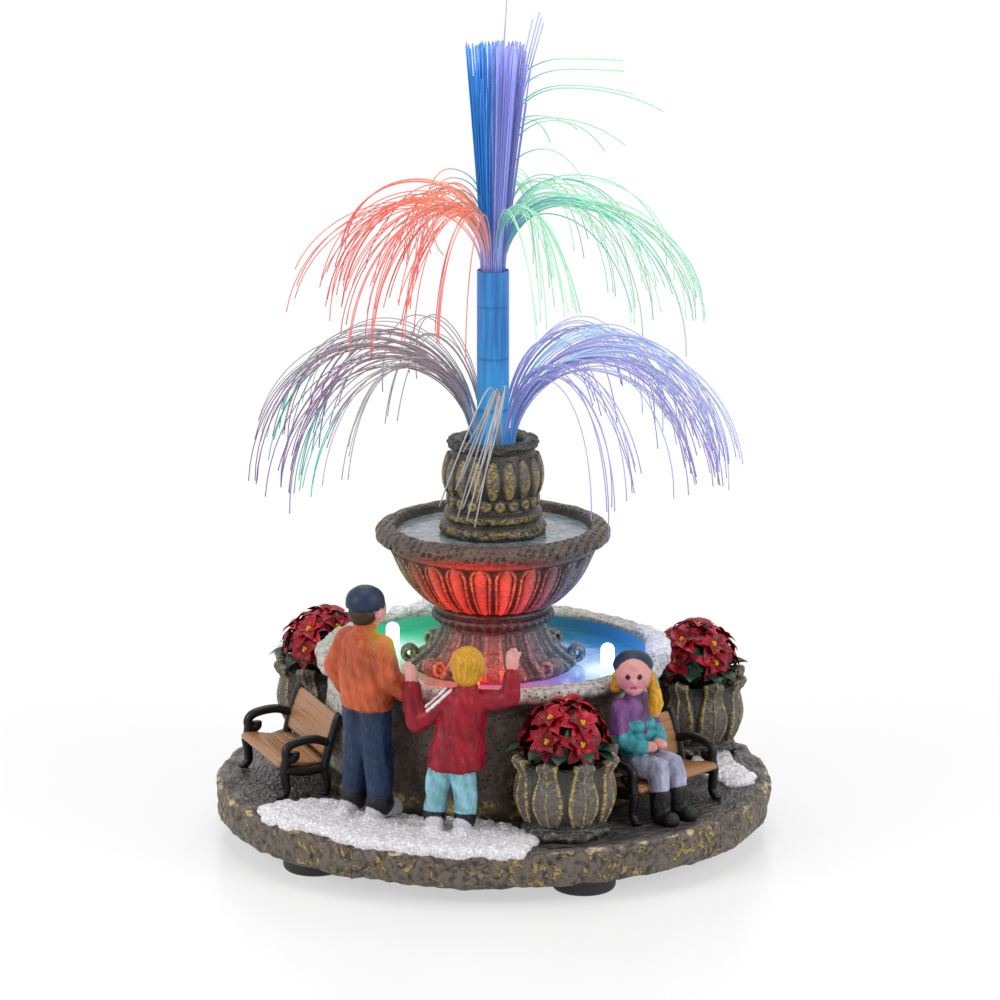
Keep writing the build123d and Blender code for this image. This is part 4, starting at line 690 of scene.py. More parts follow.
def bowl_relief(angle, profile):
    """A ring of tongues with raised borders under a plain band and a stippled rim."""
    radius, rise = profile[..., 0], profile[..., 1] - BOWL_SEAT
    length = (rise - 1.2) / 15.0
    cap = np.sqrt(np.clip(1 - np.clip((length - 0.72) / 0.28, 0, 1) ** 2, 0.0009, 1))
    share = np.abs(sector(angle, TONGUES)) / ((0.36 + 0.12 * np.clip(length, 0, 1)) * cap)
    border = hump(share, 0.84, 0.15)
    tongue = np.sqrt(np.clip(1 - (share / 0.6) ** 2, 0, 1))
    zone = ramp(radius, 15.0, 17.0) * ramp(rise, 16.8, 16.0)
    place = around(angle, radius, rise)
    rim = ramp(rise, 18.4, 19.2) * ramp(radius, 27.9, 29.0)
    stipple = -0.5 * ramp(rough(place, 1.9, 11, 2), 0.25, 0.7) * rim
    push = zone * (0.72 * border + 0.9 * tongue - 0.35) + stipple + rough(place, 7, 12, 2) * 0.16 * rim
    band = hump(rise, 17.2, 0.9) * (rim < 0.5)
    return push + 0.3 * rim + 0.35 * band, zone * (border + 0.45 * tongue) + 0.35 * band + 0.18 * rim


bowl = Clay()
carved(bowl, bowl_profile, 720, bowl_relief, (-0.4, 0.75))
bowl.build("petal_bowl", CARVED_BOWL, "bowl")

VASE_LEAVES, BOSSES = 18, 20
vase_profile = lathe_line(
    BOWL_WATER, ((4.2, 0.0), (14.0, 0.0)),
    ((14.8, 0.2), (15.2, 1.4), (15.0, 2.8), (14.0, 3.8), (13.5, 4.3), (14.0, 5.2), (13.9, 6.6), (13.1, 7.5),
     (12.6, 8.2), (12.6, 11.6), (13.0, 12.6), (13.8, 15.4), (13.9, 18.0), (13.2, 21.0), (12.2, 23.4), (11.8, 24.4),
     (12.4, 25.0), (13.0, 26.0), (12.8, 27.1), (12.0, 27.5), (9.8, 27.4), (8.8, 26.6)),
    8, ((8.6, 16.6), (5.4, 16.5), (5.4, 3.6), (4.2, 3.5)))


def vase_relief(angle, profile):
    """Upright leaves round the belly, a row of bosses with hollow middles and a rough rim."""
    radius, rise = profile[..., 0], profile[..., 1] - BOWL_WATER
    width = 0.44 * np.sqrt(np.clip(1 - np.clip((rise - 17.4) / 5.8, -1, 1) ** 2, 0.0009, 1))
    share = np.abs(sector(angle, VASE_LEAVES)) / width
    leaf = np.sqrt(np.clip(1.05 - share**2, 0, 1)) * ramp(rise, 11.8, 12.6) * ramp(rise, 23.4, 22.6)
    off = np.hypot(sector(angle, BOSSES) * TURN * 12.8 / BOSSES, rise - 9.9)
    boss = np.sqrt(np.clip(1 - (off / 1.8) ** 2, 0, 1)) - 0.55 * hump(off, 0.0, 0.5)
    outside = ramp(radius, 9.5, 11.0)
    place = around(angle, radius, rise)
    rim = ramp(rise, 24.6, 25.2)
    stipple = rough(place, 2.4, 14, 2) * 0.3 * (rim + hump(rise, 1.6, 1.6))
    gold = leaf**2 * 0.85 + boss * 0.95 + 0.75 * hump(rise, 5.8, 1.2) + 0.7 * hump(rise, 2.2, 1.6)
    return (leaf * 0.85 + boss * 1.15 + stipple) * outside, gold * outside


vase = Clay()
carved(vase, vase_profile, 600, vase_relief, (-0.2, 0.9))
vase.build("leaf_vase", CARVED_VASE, "vase")


# Fibre plume
AZURE, PERIWINKLE, SKY = (0.01, 0.17, 0.5), (0.22, 0.24, 0.58), (0.09, 0.46, 0.84)
MAUVE, VIOLET, LAVENDER = (0.29, 0.215, 0.235), (0.19, 0.09, 0.34), (0.36, 0.36, 0.74)
TEAL, MINT, CORAL, SILVER = (0.05, 0.44, 0.38), (0.36, 0.74, 0.5), (0.8, 0.15, 0.11), (0.42, 0.42, 0.44)
EMBER, CYAN, ROSE = (0.8, 0.3, 0.15), (0.4, 0.62, 0.86), (0.7, 0.13, 0.12)


def blendrow(stops, share):
    """Colours along a run from (place, colour) stops."""
    places = [place for place, _ in stops]
    return np.stack([np.interp(share, places, [colour[c] for _, colour in stops]) for c in range(3)], -1)


def arc_path(azimuth, root, base, rise, lift, reach, drop, turn, sway, steps=26):
    """A fibre that rises, bends out and hangs, swaying a little out of its plane."""
    bend = np.radians(np.linspace(0, 90, steps // 2))
    hang = np.radians(np.linspace(0, turn, steps - steps // 2 + 1))[1:]
    out = np.concatenate([[root], root + lift * (1 - np.cos(bend)), root + lift + reach * np.sin(hang)])
    up = np.concatenate([[0], rise + lift * np.sin(bend), rise + lift - drop * (1 - np.cos(hang))]) + base
    swing = math.radians(azimuth) + sway * np.linspace(0, 1, len(out)) ** 2
    return np.stack([out * np.cos(swing), out * np.sin(swing), up], -1)


def fibre_bunch(place, seed, locks, sector_deg, rows, base, colours, paint, radius=0.17, drift=0.0, together=5):
    """A spray of fibres between two angles, in locks that stay together, each row from the inner to the outer ones."""
    dice = np.random.default_rng(seed)
    clay = Clay()
    for _ in range(locks):
        azimuth, depth = dice.uniform(*sector_deg), dice.uniform() ** 0.2
        tall, turn, sway = dice.normal() * 1.5, dice.uniform(66, 88), drift + dice.normal() * 0.05
        stops = colours(azimuth, dice)
        for _ in range(dice.integers(1, together)):
            root, rise, lift, reach, drop = (
                a + (b - a) * np.clip(depth + dice.normal() * 0.04, 0, 1.04) for a, b in rows)
            path = arc_path(azimuth + dice.normal() * 1.8, root, base, rise + tall, lift, reach,
                            drop * dice.uniform(0.85, 1.1), turn + dice.normal() * 4, sway + dice.normal() * 0.012)
            share = np.linspace(0, 1, len(path))
            hue = blendrow(stops, share) * dice.uniform(0.7, 1.25)
            clay.tube(path, np.linspace(radius * 1.1, radius * 0.9, len(path)), np.clip(hue, 0, 1), 5)
    clay.build(f"spray_{place}", paint, f"{place}_spray")


def lower_left_hues(azimuth, dice):
    """Mauve to violet, with silver ones and a few that end in teal."""
    pick = dice.uniform()
    if pick < 0.07:
        return (0, SKY), (0.25, MAUVE), (0.7, MAUVE), (0.85, TEAL), (1, (0.04, 0.48, 0.34))
    if pick < 0.45:
        return (0, SKY), (0.22, (0.3, 0.28, 0.31)), (1, SILVER)
    return (0, SKY), (0.2, (0.28, 0.23, 0.28)), (0.45, MAUVE), (0.75, (0.26, 0.17, 0.29)), (1, VIOLET)


def lower_right_hues(azimuth, dice):
    """Lavender, with more pale blue ones towards the back."""
    if dice.uniform() < 0.15 + 0.25 * (azimuth > 20):
        return (0, SKY), (0.3, CYAN), (0.6, (0.44, 0.58, 0.84)), (1, (0.4, 0.46, 0.78))
    return (0, SKY), (0.18, PERIWINKLE), (0.5, LAVENDER), (0.8, (0.37, 0.37, 0.7)), (1, (0.29, 0.24, 0.58))


def lower_front_hues(azimuth, dice):
    """Silver."""
    return (0, (0.24, 0.34, 0.46)), (0.3, SILVER), (0.6, (0.52, 0.52, 0.53)), (1, (0.34, 0.33, 0.35))


def upper_left_hues(azimuth, dice):
    """Coral and rose."""
    if dice.uniform() < 0.2:
        return (0, PERIWINKLE), (0.15, (0.48, 0.3, 0.4)), (0.4, (0.72, 0.26, 0.24)), (1, ROSE)
    return (0, PERIWINKLE), (0.16, (0.62, 0.36, 0.4)), (0.32, EMBER), (0.6, CORAL), (1, ROSE)


def upper_right_hues(azimuth, dice):
    """Mint, with a few teal ones."""
    if dice.uniform() < 0.12:
        return (0, AZURE), (0.3, (0.14, 0.36, 0.54)), (0.6, TEAL), (1, (0.3, 0.58, 0.54))
    return ((0, PERIWINKLE), (0.16, (0.2, 0.4, 0.54)), (0.34, (0.22, 0.6, 0.44)), (0.6, MINT),
            (1, (0.42, 0.76, 0.56)))


LOWER_BASE, UPPER_BASE = level("lower_left_spray", 0) + 0.6, level("crown_brush", 0) + 0.6
# Root, rise, lift, reach and drop of the inner and of the outer fibres
LOWER_ROWS = ((7.2, 5.6), (9.0, 2.5), (19.0, 31.0), (14.0, 35.5), (42.0, 40.0))
UPPER_ROWS = ((4.0, 3.2), (17.0, 3.5), (6.0, 19.5), (5.0, 37.0), (44.0, 36.0))
FRONT_ROWS = ((7.4, 6.4), (11.0, 13.5), (8.0, 9.5), (12.0, 15.0), (37.0, 40.0))
for place, seed, locks, sides, rows, base, hues, paint, *more in (
        ("lower_left", 21, 30, (118, 238), LOWER_ROWS, LOWER_BASE, lower_left_hues, ("fibre_violet", 0.12)),
        ("lower_right", 22, 36, (-62, 62), LOWER_ROWS, LOWER_BASE, lower_right_hues, ("fibre_lavender", 0.18)),
        ("lower_front", 23, 11, (274, 292), FRONT_ROWS, LOWER_BASE, lower_front_hues, ("fibre_silver", 0.08),
         0.24, -0.5, 2),
        ("upper_left", 24, 26, (100, 260), UPPER_ROWS, UPPER_BASE, upper_left_hues, ("fibre_red", 0.2)),
        ("upper_right", 25, 28, (-80, 80), UPPER_ROWS, UPPER_BASE, upper_right_hues, ("fibre_green", 0.18))):
    fibre_bunch(place, seed, locks, sides, rows, base, hues, paint_fibre(*paint), *more)


CROWN_FIBRES, GOLDEN_TURN = 210, 2.39996


def crown():
    """Upright fibres with a few that stray out of the bundle."""
    dice = np.random.default_rng(26)
    clay = Clay()
    for k in range(CROWN_FIBRES):
        root = 3.1 * math.sqrt((k + 0.5) / CROWN_FIBRES)
        azimuth = k * GOLDEN_TURN
        height = 67.0 - 19.0 * dice.uniform() ** 4
        top = root * 2.7 * dice.uniform(0.85, 1.15) + 0.3
        t = np.linspace(0, 1, 9)
        out = root + (top - root) * t**1.15
        swing = azimuth + dice.normal() * 0.1 * t
        path = np.stack([out * np.cos(swing) + 1.3 * t, out * np.sin(swing), UPPER_BASE + height * t], -1)
        right = ramp(math.cos(azimuth) * root + dice.normal() * 0.4, -1.2, 0.6)
        hue = np.array(AZURE) * (1 - right) + np.array(PERIWINKLE) * right
        stops = ((0, PERIWINKLE), (0.25, hue), (0.85, hue * 1.05), (1, hue * 1.3 + 0.06))
        clay.tube(path, 0.2, np.clip(blendrow(stops, t) * dice.uniform(0.6, 1.5), 0, 1), 5)
    strays = ((8, 38, 16, 53, 45, 35), (-4, 47, 16, 82, 40, 12), (12, 43, 16, 71, 40, 16), (4, 39, 16, 55, 45, 22),
              (-10, 38, 9, 23, 30, 30), (16, 38, 7, 11, 30, 40), (24, 30, 14, 30, 45, 40), (-20, 26, 12, 20, 50, 60),
              (0, 34, 12, 40, 50, 34), (165, 22, 9, 7, 12, 130), (188, 18, 8, 6, 10, 150), (205, 20, 10, 8, 14, 120))
    for azimuth, rise, lift, reach, drop, turn in strays:
        path = arc_path(azimuth, 3.4, UPPER_BASE, rise, lift, reach, drop, turn, 0.1, 20)
        tip = MINT if abs(azimuth) < 90 else EMBER
        stops = (0, AZURE), (0.35, TEAL), (0.5, tip), (1, tip)
        clay.tube(path, 0.18, blendrow(stops, np.linspace(0, 1, len(path))), 5)
    for lean, height in ((3.4, 81.5), (10.5, 74.0), (12.4, 76.0), (13.6, 73.0), (11.4, 72.0), (13.0, 74.5)):
        t = np.linspace(0, 1, 9)
        path = np.stack([0.6 + lean * t**1.6, 0.4 * t, UPPER_BASE + height * t], -1)
        clay.tube(path, 0.2, blendrow(((0, AZURE), (0.7, PERIWINKLE), (1, (0.4, 0.48, 0.8))), t), 5)
    clay.build("crown", paint_fibre("fibre_azure", 0.2), "crown_brush")


crown()

# Planters
PLANTER_RISE = level("planter_front", 1) - GROUND
PLANTER_LEAVES, FOLIAGE = 8, 16
planter_profile = lathe_line(
    0.0, ((0.3, 0.0), (10.6, 0.0)),
    ((11.6, 0.3), (12.1, 1.4), (11.6, 2.6), (10.7, 3.4), (10.9, 4.4), (12.2, 6.6), (13.3, 9.6), (13.7, 12.4),
     (13.3, 15.4), (12.7, 18.0), (13.0, 19.8), (13.9, 21.4), (13.8, 22.0), (12.6, 22.0), (11.7, 21.6)),
    9, ((11.4, 19.6), (0.3, 19.4)))


def planter_relief(angle, profile):
    """Broad upright leaves with raised borders and a rib, and rounded buds under them."""
    radius, rise = profile[..., 0], profile[..., 1]
    across = np.abs(sector(angle, PLANTER_LEAVES))
    width = np.interp(rise, (3.4, 6.0, 9.5, 13.0, 17.0, 20.0, 22.2), (0.2, 0.35, 0.44, 0.43, 0.34, 0.27, 0.3))
    share = across / width
    border, rib = hump(share, 0.86, 0.15), hump(across, 0.0, 0.022)
    veins = hump((rise * 0.32 - across * 2.6) % 1.0, 0.5, 0.12) * ramp(share, 0.8, 0.6)
    blade = np.sqrt(np.clip(1.04 - share**2, 0, 1))
    outside = ramp(radius, 10.6, 11.4)
    zone = outside * ramp(rise, 3.4, 4.8)
    place = around(angle, radius, rise)
    foot = outside * ramp(rise, 4.0, 2.6) * rough(place, 4.5, 15, 2)
    push = zone * (0.85 * blade + 0.5 * border + 0.45 * rib + 0.16 * veins - 0.3) + 0.7 * foot
    return push, zone * (border * 0.95 + rib + veins * 0.55 * blade) + 0.4 * foot


def planter_rim(angle, profile):
    """The leaves' tips curl out over the rim."""
    radius, rise = profile[..., 0], profile[..., 1]
    tip = np.clip(np.cos(angle * PLANTER_LEAVES + math.pi), -0.9, 1) * ramp(rise, 17.6, 21.6) * ramp(radius, 11.4, 12.8)
    return 1.2 * tip, 1.0 * tip


def pointed(length, width, curl, droop, waves, count=9):
    """A pointed blade along X: points[u][v], folded along its rib and drooping at the tip."""
    along = np.linspace(0, 1, count)[:, None]
    across = np.linspace(-1, 1, 5)[None, :]
    half = width / 2 * np.sin(np.pi * along**0.8) ** 0.85 * (1 + waves * np.sin(along * 19))
    x = along * length + 0 * across
    y = half * across
    z = curl * np.abs(across) * half * 2 / width + length * 0.22 * np.sin(np.pi * along * 0.55) - droop * along**2
    return np.stack([x, y, z], -1)


def poinsettia(reds, greens, place, size, dice):
    """One blossom: two rings of red bracts round yellow buds, with green under it."""
    for ring, (count, reach, lift) in enumerate(((7, 1.0, 0.0), (5, 0.7, 0.7))):
        for k in range(count):
            turn = Matrix.Rotation(TURN * (k + 0.5 * ring) / count + dice.uniform(-0.15, 0.15), 4, "Z")
            tilt = Matrix.Rotation(-0.05 - 0.35 * ring + dice.uniform(-0.12, 0.12), 4, "Y")
            blade = pointed(size * reach * dice.uniform(0.9, 1.1), size * 0.58, 0.7, size * 0.26, 0.05)
            red = np.array((0.46, 0.003, 0.02)) * dice.uniform(0.4, 1.15)
            along = np.linspace(0, 1, blade.shape[0])[:, None, None]
            rib = np.abs(np.linspace(-1, 1, 5))[None, :, None]
            # Each bract is darker down its folded middle as painted shade, and lighter at its edges and towards its tip
            # as painted highlight.
            tint = red * (0.58 + 0.42 * rib + 0.15 * along)
            reds.grid(moved(blade, place @ Matrix.Translation((0, 0, lift)) @ turn @ tilt), np.clip(tint, 0, 1))
    for k in range(4):
        bud = (0.5 * math.cos(k * 1.9), 0.5 * math.sin(k * 1.9), 1.5)
        reds.ball(moved([bud], place)[0], (0.5, 0.5, 0.6), (0.72, 0.36, 0.02), 5, 7)
    for k in range(3):
        turn = Matrix.Rotation(TURN * k / 3 + dice.uniform(0, 1.5), 4, "Z")
        blade = pointed(size * 1.2, size * 0.7, 0.5, size * 0.5, 0.1)
        green = np.array((0.01, 0.04, 0.022)) * dice.uniform(0.5, 1.6)
        greens.grid(moved(blade, place @ Matrix.Translation((0, 0, -1.0)) @ turn), np.clip(green, 0, 1))


for side, seed in (("left", 31), ("front", 32), ("right", 33)):
    middle = spot(f"planter_{side}") * (1, 1, 0) + (0, 0, GROUND)
    dice = np.random.default_rng(seed)
    pot = Clay()
    carved(pot, planter_profile, 400, planter_relief, (-0.3, 1.2), middle, planter_rim, False)
    pot.build(f"pot_{side}", CARVED_PLANTER, f"planter_{side}")
    reds, greens = Clay(), Clay()
    heart = middle + (0, 0, PLANTER_RISE + 3.2)
    greens.ball(heart, (9.4, 9.4, 9.8), (0.006, 0.022, 0.012), 12, 24)
    for count, tilt, phase in ((1, 8, 0), (5, 45, 0.3), (6, 74, 0.0)):
        for k in range(count):
            lean = math.radians(tilt + dice.uniform(-6, 6))
            turn = TURN * (k + phase) / count + dice.uniform(-0.12, 0.12)
            place = (Matrix.Translation(Vector(heart)) @ Matrix.Rotation(turn, 4, "Z")
                     @ Matrix.Translation((9.8 * math.sin(lean), 0, 11.2 * math.cos(lean)))
                     @ Matrix.Rotation(lean * 0.86, 4, "Y"))
            poinsettia(reds, greens, place, dice.uniform(6.4, 7.3), dice)
    for k in range(FOLIAGE):
        turn = Matrix.Rotation(TURN * k / FOLIAGE + dice.uniform(-0.15, 0.15), 4, "Z")
        blade = pointed(dice.uniform(7.4, 9.4), 5.6, 0.6, dice.uniform(0.6, 3.8), 0.12)
        green = np.array((0.01, 0.036, 0.022)) * dice.uniform(0.5, 1.9)
        place = Matrix.Translation(Vector(heart + (0, 0, -0.4))) @ turn @ Matrix.Translation((8.2, 0, 0))
        greens.grid(moved(blade, place), np.clip(green, 0, 1))
    reds.build(f"poinsettia_{side}", BLOOM, f"blossoms_{side}")
    greens.build(f"foliage_{side}", LEAF, f"leaves_{side}")


# Benches
BOARD_HALF, END_OFFSET = 16.5, 17.3


def board(clay, place, spine, thick, slats):
    """A board along Y over a curved spine of x and z, with slat lines on its face and painted shade on its back face.
    """
    spine = np.asarray(spine, float)
    slope = np.gradient(spine, axis=0)
    normal = np.stack([-slope[:, 1], slope[:, 0]], 1) / np.linalg.norm(slope, axis=1)[:, None]
    run = np.linspace(0, 1, len(spine))
    groove = np.clip(hump((run * slats) % 1.0, 0.0, 0.06) + hump((run * slats) % 1.0, 1.0, 0.06), 0, 1)
    groove = groove * (run > 0.06) * (run < 0.94)
    taper = np.sqrt(np.clip(1 - (2 * run - 1) ** 8, 0.05, 1))[:, None] * thick / 2
    face = spine + normal * (taper - 0.18 * groove[:, None])
    loop = np.vstack([face, (spine - normal * taper)[::-1]])
    # Slat grooves are darker, and the back face is darker as painted shade under the seat and behind the backrest.
    groove_and_shade_tone = np.concatenate([1 - 0.6 * groove, np.full(len(spine), 0.4)])
    length = np.concatenate([[-BOARD_HALF], np.linspace(-BOARD_HALF, BOARD_HALF, 30), [BOARD_HALF]])
    shape = np.stack(np.broadcast_arrays(loop[:, None, 0], length[None], loop[:, None, 1]), -1)
    shape[:, (0, -1), 0], shape[:, (0, -1), 2] = spine.mean(0)
    clay.grid(moved(shape, place), groove_and_shade_tone[:, None, None], wrap_u=True)


def bench(side, place):
    """Cast ends with curled arms, and bent boards between them."""
    iron, seat, back = Clay(), Clay(), Clay()
    across = np.array(place.to_3x3() @ Vector((0, 1, 0)))
    runs = (((-5.4, 0.6), (-5.9, 4.0), (-5.4, 8.4), (-6.3, 13.0), (-8.1, 18.6), (-9.4, 22.4), (-10.2, 23.2)),
            ((7.6, 0.6), (6.3, 2.6), (6.5, 5.6), (7.0, 8.8)), ((-5.6, 8.2), (0.5, 7.7), (6.8, 8.6)),
            ((-6.9, 15.2), (-2.6, 16.8), (2.2, 16.6), (5.4, 15.5), (6.4, 13.4), (5.3, 11.7), (3.7, 12.2), (3.6, 13.6)),
            ((6.2, 12.8), (6.4, 10.5), (6.8, 8.6)))
    for end in (-END_OFFSET, END_OFFSET):
        for run in runs:
            line = flow(run, 6)
            path = np.stack([line[:, 0], np.full(len(line), end), line[:, 1]], -1)
            iron.tube(moved(path, place), np.linspace(1.25, 1.4, len(path)), (0.5, 0.5, 0.5), 10, 1.0, across)
        for foot in (-5.3, 7.8):
            iron.ball(moved([(foot, end, 0.8)], place)[0], (1.7, 1.6, 0.8), (0.5, 0.5, 0.5), 6, 10)
    board(seat, place, flow(((-6.4, 9.3), (-3.0, 9.0), (1.0, 9.3), (5.0, 10.2), (7.4, 10.2), (8.5, 9.3)), 12), 1.6, 6)
    board(back, place, flow(((-9.8, 22.9), (-8.7, 20.0), (-7.4, 16.4), (-6.4, 13.0), (-6.0, 11.0)), 14), 1.5, 5)
    iron.build(f"bench_iron_{side}", IRON, f"bench_{side}_ends")
    seat.build(f"bench_slats_{side}", WOOD, f"bench_{side}_seat")
    back.build(f"bench_rest_{side}", WOOD, f"bench_{side}_back")


def polar(radius, angle):
    """A point at a radius and an angle in degrees."""
    return radius * math.cos(math.radians(angle)), radius * math.sin(math.radians(angle))


LEFT_BENCH = facing(200.5, (*polar(59.7, 189.5), GROUND))
RIGHT_BENCH = facing(-42.0, (*polar(58.2, -37.7), GROUND))
bench("left", LEFT_BENCH)
bench("right", RIGHT_BENCH)


# Figures: limbs and balls melted together, each skin point painted by the nearest part
class Doll:
    """A figure built of limbs and balls in shares of its height, facing X with Y to its left."""

    def __init__(self, height):
        self.height, self.parts, self.clay = height, [], Clay()

    def limb(self, tint, *joints):
        """A tapering chain; each joint is x, y, z and radius."""
        for a, b in zip(joints, joints[1:]):
            a, b = np.array(a, float) * self.height, np.array(b, float) * self.height
            self.parts.append((np.array(tint), a, b))
            t = np.linspace(0, 1, 9)
            self.clay.tube(a[:3] + t[:, None] * (b[:3] - a[:3]), a[3] + t * (b[3] - a[3]), BARE, 14)
            for end in (a, b):
                self.clay.ball(end[:3], (end[3],) * 3, BARE)

    def ball(self, tint, x, y, z, rx, ry=None, rz=None):
        """An ellipsoid; a single radius makes a ball."""
        radii = np.array((rx, ry or rx, rz or rx)) * self.height
        self.parts.append((np.array(tint), np.array((x, y, z)) * self.height, radii))
        self.clay.ball(self.parts[-1][1], radii, BARE, 14, 24)

    def coat(self, tint, rows):
        """A cloth form through rows of z, x, y, depth and width."""
        rows = flow(np.asarray(rows, float), 6)
        step = (rows[-1, 0] - rows[0, 0]) / len(rows)
        for z, x, y, depth, width in rows * self.height:
            radii = np.array((depth, width, step * 2.5 * self.height))
            self.parts.append((np.array(tint), np.array((x, y, z)), radii))
        ends = rows[[0, -1]] * (1, 1, 1, 0, 0)
        z, x, y, depth, width = np.vstack([ends[:1], rows, ends[1:]]).T * self.height
        angle = np.linspace(0, TURN, 32, endpoint=False)[:, None]
        shell = np.stack(np.broadcast_arrays(x + depth * np.cos(angle), y + width * np.sin(angle), z), -1)
        self.clay.grid(shell, BARE, wrap_u=True)

    def reach(self, skin):
        """Distance from each skin point to each part, nearly."""
        gaps = []
        for _, a, b in self.parts:
            if len(a) == 4:
                run = b[:3] - a[:3]
                share = np.clip(((skin - a[:3]) @ run) / (run @ run), 0, 1)[:, None]
                gap = np.linalg.norm(skin - a[:3] - share * run, axis=1) - (a[3] + share[:, 0] * (b[3] - a[3]))
            else:
                scaled = np.linalg.norm((skin - a) / b, axis=1)
                gap = scaled * (scaled - 1) / (np.linalg.norm((skin - a) / b**2, axis=1) + 1e-9)
            gaps.append(gap)
        return np.array(gaps)

    def cast(self, name, place, node, cell, passes, touch):
        """The finished figure at its place; touch repaints details on the skin, in shares."""
        skin, quads = modelled(self.clay, cell, passes)
        colours = np.array([part[0] for part in self.parts])
        tints = colours[np.argmin(self.reach(skin), axis=0)]
        hair = np.all(np.abs(tints - BLOND) < 1e-6, axis=1) | np.all(np.abs(tints - BROWN_HAIR) < 1e-6, axis=1)
        strand = np.sin(np.arctan2(skin[:, 1], skin[:, 0]) * 46 + 3 * rough(skin, 4, 71))
        tints = np.where(hair[:, None], tints * (0.84 + 0.17 * strand[:, None]), tints)
        folds = rough(skin * (1, 1, 0.45), 6.0, 72, 2)[:, None]
        creases = rough(skin * (1, 1, 0.6), 2.4, 73, 2)[:, None]
        cloth = (skin[:, 2:] > 0.1 * self.height) & (skin[:, 2:] < 0.78 * self.height)
        away = (skin - skin.mean(0)) * (1, 1, 0)
        away /= np.linalg.norm(away, axis=1)[:, None] + 1e-6
        skin = skin + (0.38 * folds + 0.13 * creases) * cloth * away
        # Cloth is darker in fold valleys as painted shade, and lighter on fold ridges as painted highlight.
        tints = np.where(cloth, tints * np.clip(0.98 + 0.24 * folds + 0.2 * creases, 0.45, 1.3), tints)
        skin[:, 2] = np.maximum(skin[:, 2], 0.0)
        tints = touch(skin / self.height, tints)
        piece(name, moved(skin, place), quads, np.clip(tints, 0, 1), FIGURE, node)


def dab(skin, tints, centre, radii, tint):
    """Paints an ellipsoid of the skin."""
    inside = np.linalg.norm((skin - np.array(centre)) / np.array(radii), axis=1) < 1
    tints = tints.copy()
    tints[inside] = tint
    return tints


def doll_face(skin, tints, heart, turn, size):
    """Two dot eyes, cheeks and a small mouth on the front of a head."""
    ahead = np.array((math.cos(turn), math.sin(turn), 0))
    aside = np.array((-math.sin(turn), math.cos(turn), 0))
    for side in (-1, 1):
        cheek = heart + ahead * size * 0.8 + aside * side * size * 0.52 + (0, 0, -0.22 * size)
        eye = heart + ahead * size * 0.95 + aside * side * size * 0.34 + (0, 0, 0.24 * size)
        tints = dab(skin, tints, cheek, (size * 0.3,) * 3, (0.68, 0.25, 0.27))
        tints = dab(skin, tints, eye, (size * 0.16,) * 3, (0.006, 0.006, 0.008))
    mouth = heart + ahead * size * 0.9 + (0, 0, -0.42 * size)
    for off in (-0.14, -0.05, 0.05, 0.14):
        tints = dab(skin, tints, mouth + aside * off * size, (size * 0.09,) * 3, (0.4, 0.035, 0.05))
    return tints


ORANGE, NAVY, DENIM, BLACK = (0.47, 0.09, 0.032), (0.01, 0.026, 0.058), (0.01, 0.026, 0.072), (0.006, 0.006, 0.007)
SKIN, BROWN_HAIR, CRIMSON, BLOND = (0.66, 0.31, 0.29), (0.05, 0.02, 0.008), (0.26, 0.004, 0.015), (0.66, 0.33, 0.022)
PALE_BLUE, WHITE, PURPLE, TURQUOISE = (0.22, 0.47, 0.54), (0.74, 0.72, 0.76), (0.16, 0.06, 0.2), (0.045, 0.3, 0.35)
LILAC, FROST = (0.36, 0.36, 0.5), (0.58, 0.57, 0.61)
SNOW_TOP = level("snow_front", 1)
BOY_TURN, BOY_SPOT = 45.0, polar(59.4, -126.4)
CHILD_TURN, CHILD_SPOT = 74.0, polar(63.6, -100.8)

boy = Doll(65.8)
for hand, foot in ((1, 0.072), (-1, 0.082)):
    boy.limb(DENIM, (0, 0.046 * hand, 0.45, 0.074), (0.012, 0.056 * hand, 0.26, 0.066),
             (-0.006, foot * hand, 0.1, 0.055), (0, foot * hand, 0.055, 0.058))
    boy.limb(BLACK, (-0.008, foot * hand, 0.06, 0.06), (-0.01, foot * hand, 0.048, 0.058))
    boy.limb(FROST, (-0.028, foot * hand, 0.026, 0.046), (0.07, (foot + 0.007) * hand, 0.024, 0.042))
boy.coat(ORANGE, ((0.47, 0, 0, 0.098, 0.125), (0.515, 0, 0, 0.1, 0.127), (0.6, -0.004, 0, 0.098, 0.126),
                  (0.7, -0.01, 0, 0.092, 0.124), (0.765, -0.012, 0, 0.074, 0.102), (0.795, -0.01, 0, 0.05, 0.062)))
boy.limb(ORANGE, (-0.008, 0.098, 0.742, 0.058), (-0.035, 0.152, 0.62, 0.052), (0.01, 0.138, 0.53, 0.048))
boy.limb(ORANGE, (-0.008, -0.098, 0.742, 0.058), (-0.012, -0.15, 0.62, 0.052), (0.07, -0.158, 0.545, 0.044))
boy.ball(SKIN, 0.1, -0.162, 0.53, 0.034)
boy.limb(ORANGE, (-0.012, 0, 0.8, 0.05), (-0.006, 0, 0.825, 0.052))
boy.ball(SKIN, 0.02, 0, 0.888, 0.072, 0.07, 0.082)
for side in (-1, 1):
    boy.ball(SKIN, 0.008, 0.072 * side, 0.88, 0.02, 0.016, 0.026)
boy.ball(BROWN_HAIR, -0.022, 0, 0.872, 0.06, 0.066, 0.05)
boy.coat(NAVY, ((0.9, -0.006, 0, 0.084, 0.08), (0.915, -0.006, 0, 0.086, 0.082), (0.945, -0.006, 0, 0.082, 0.079),
                (0.97, -0.006, 0, 0.066, 0.064), (0.99, -0.006, 0, 0.034, 0.034)))
boy.cast("boy", facing(BOY_TURN, (*BOY_SPOT, SNOW_TOP)), "standing_boy", cell=0.34, passes=3,
         touch=lambda skin, tints: doll_face(skin, tints, np.array((0.02, 0, 0.876)), 0, 0.072))

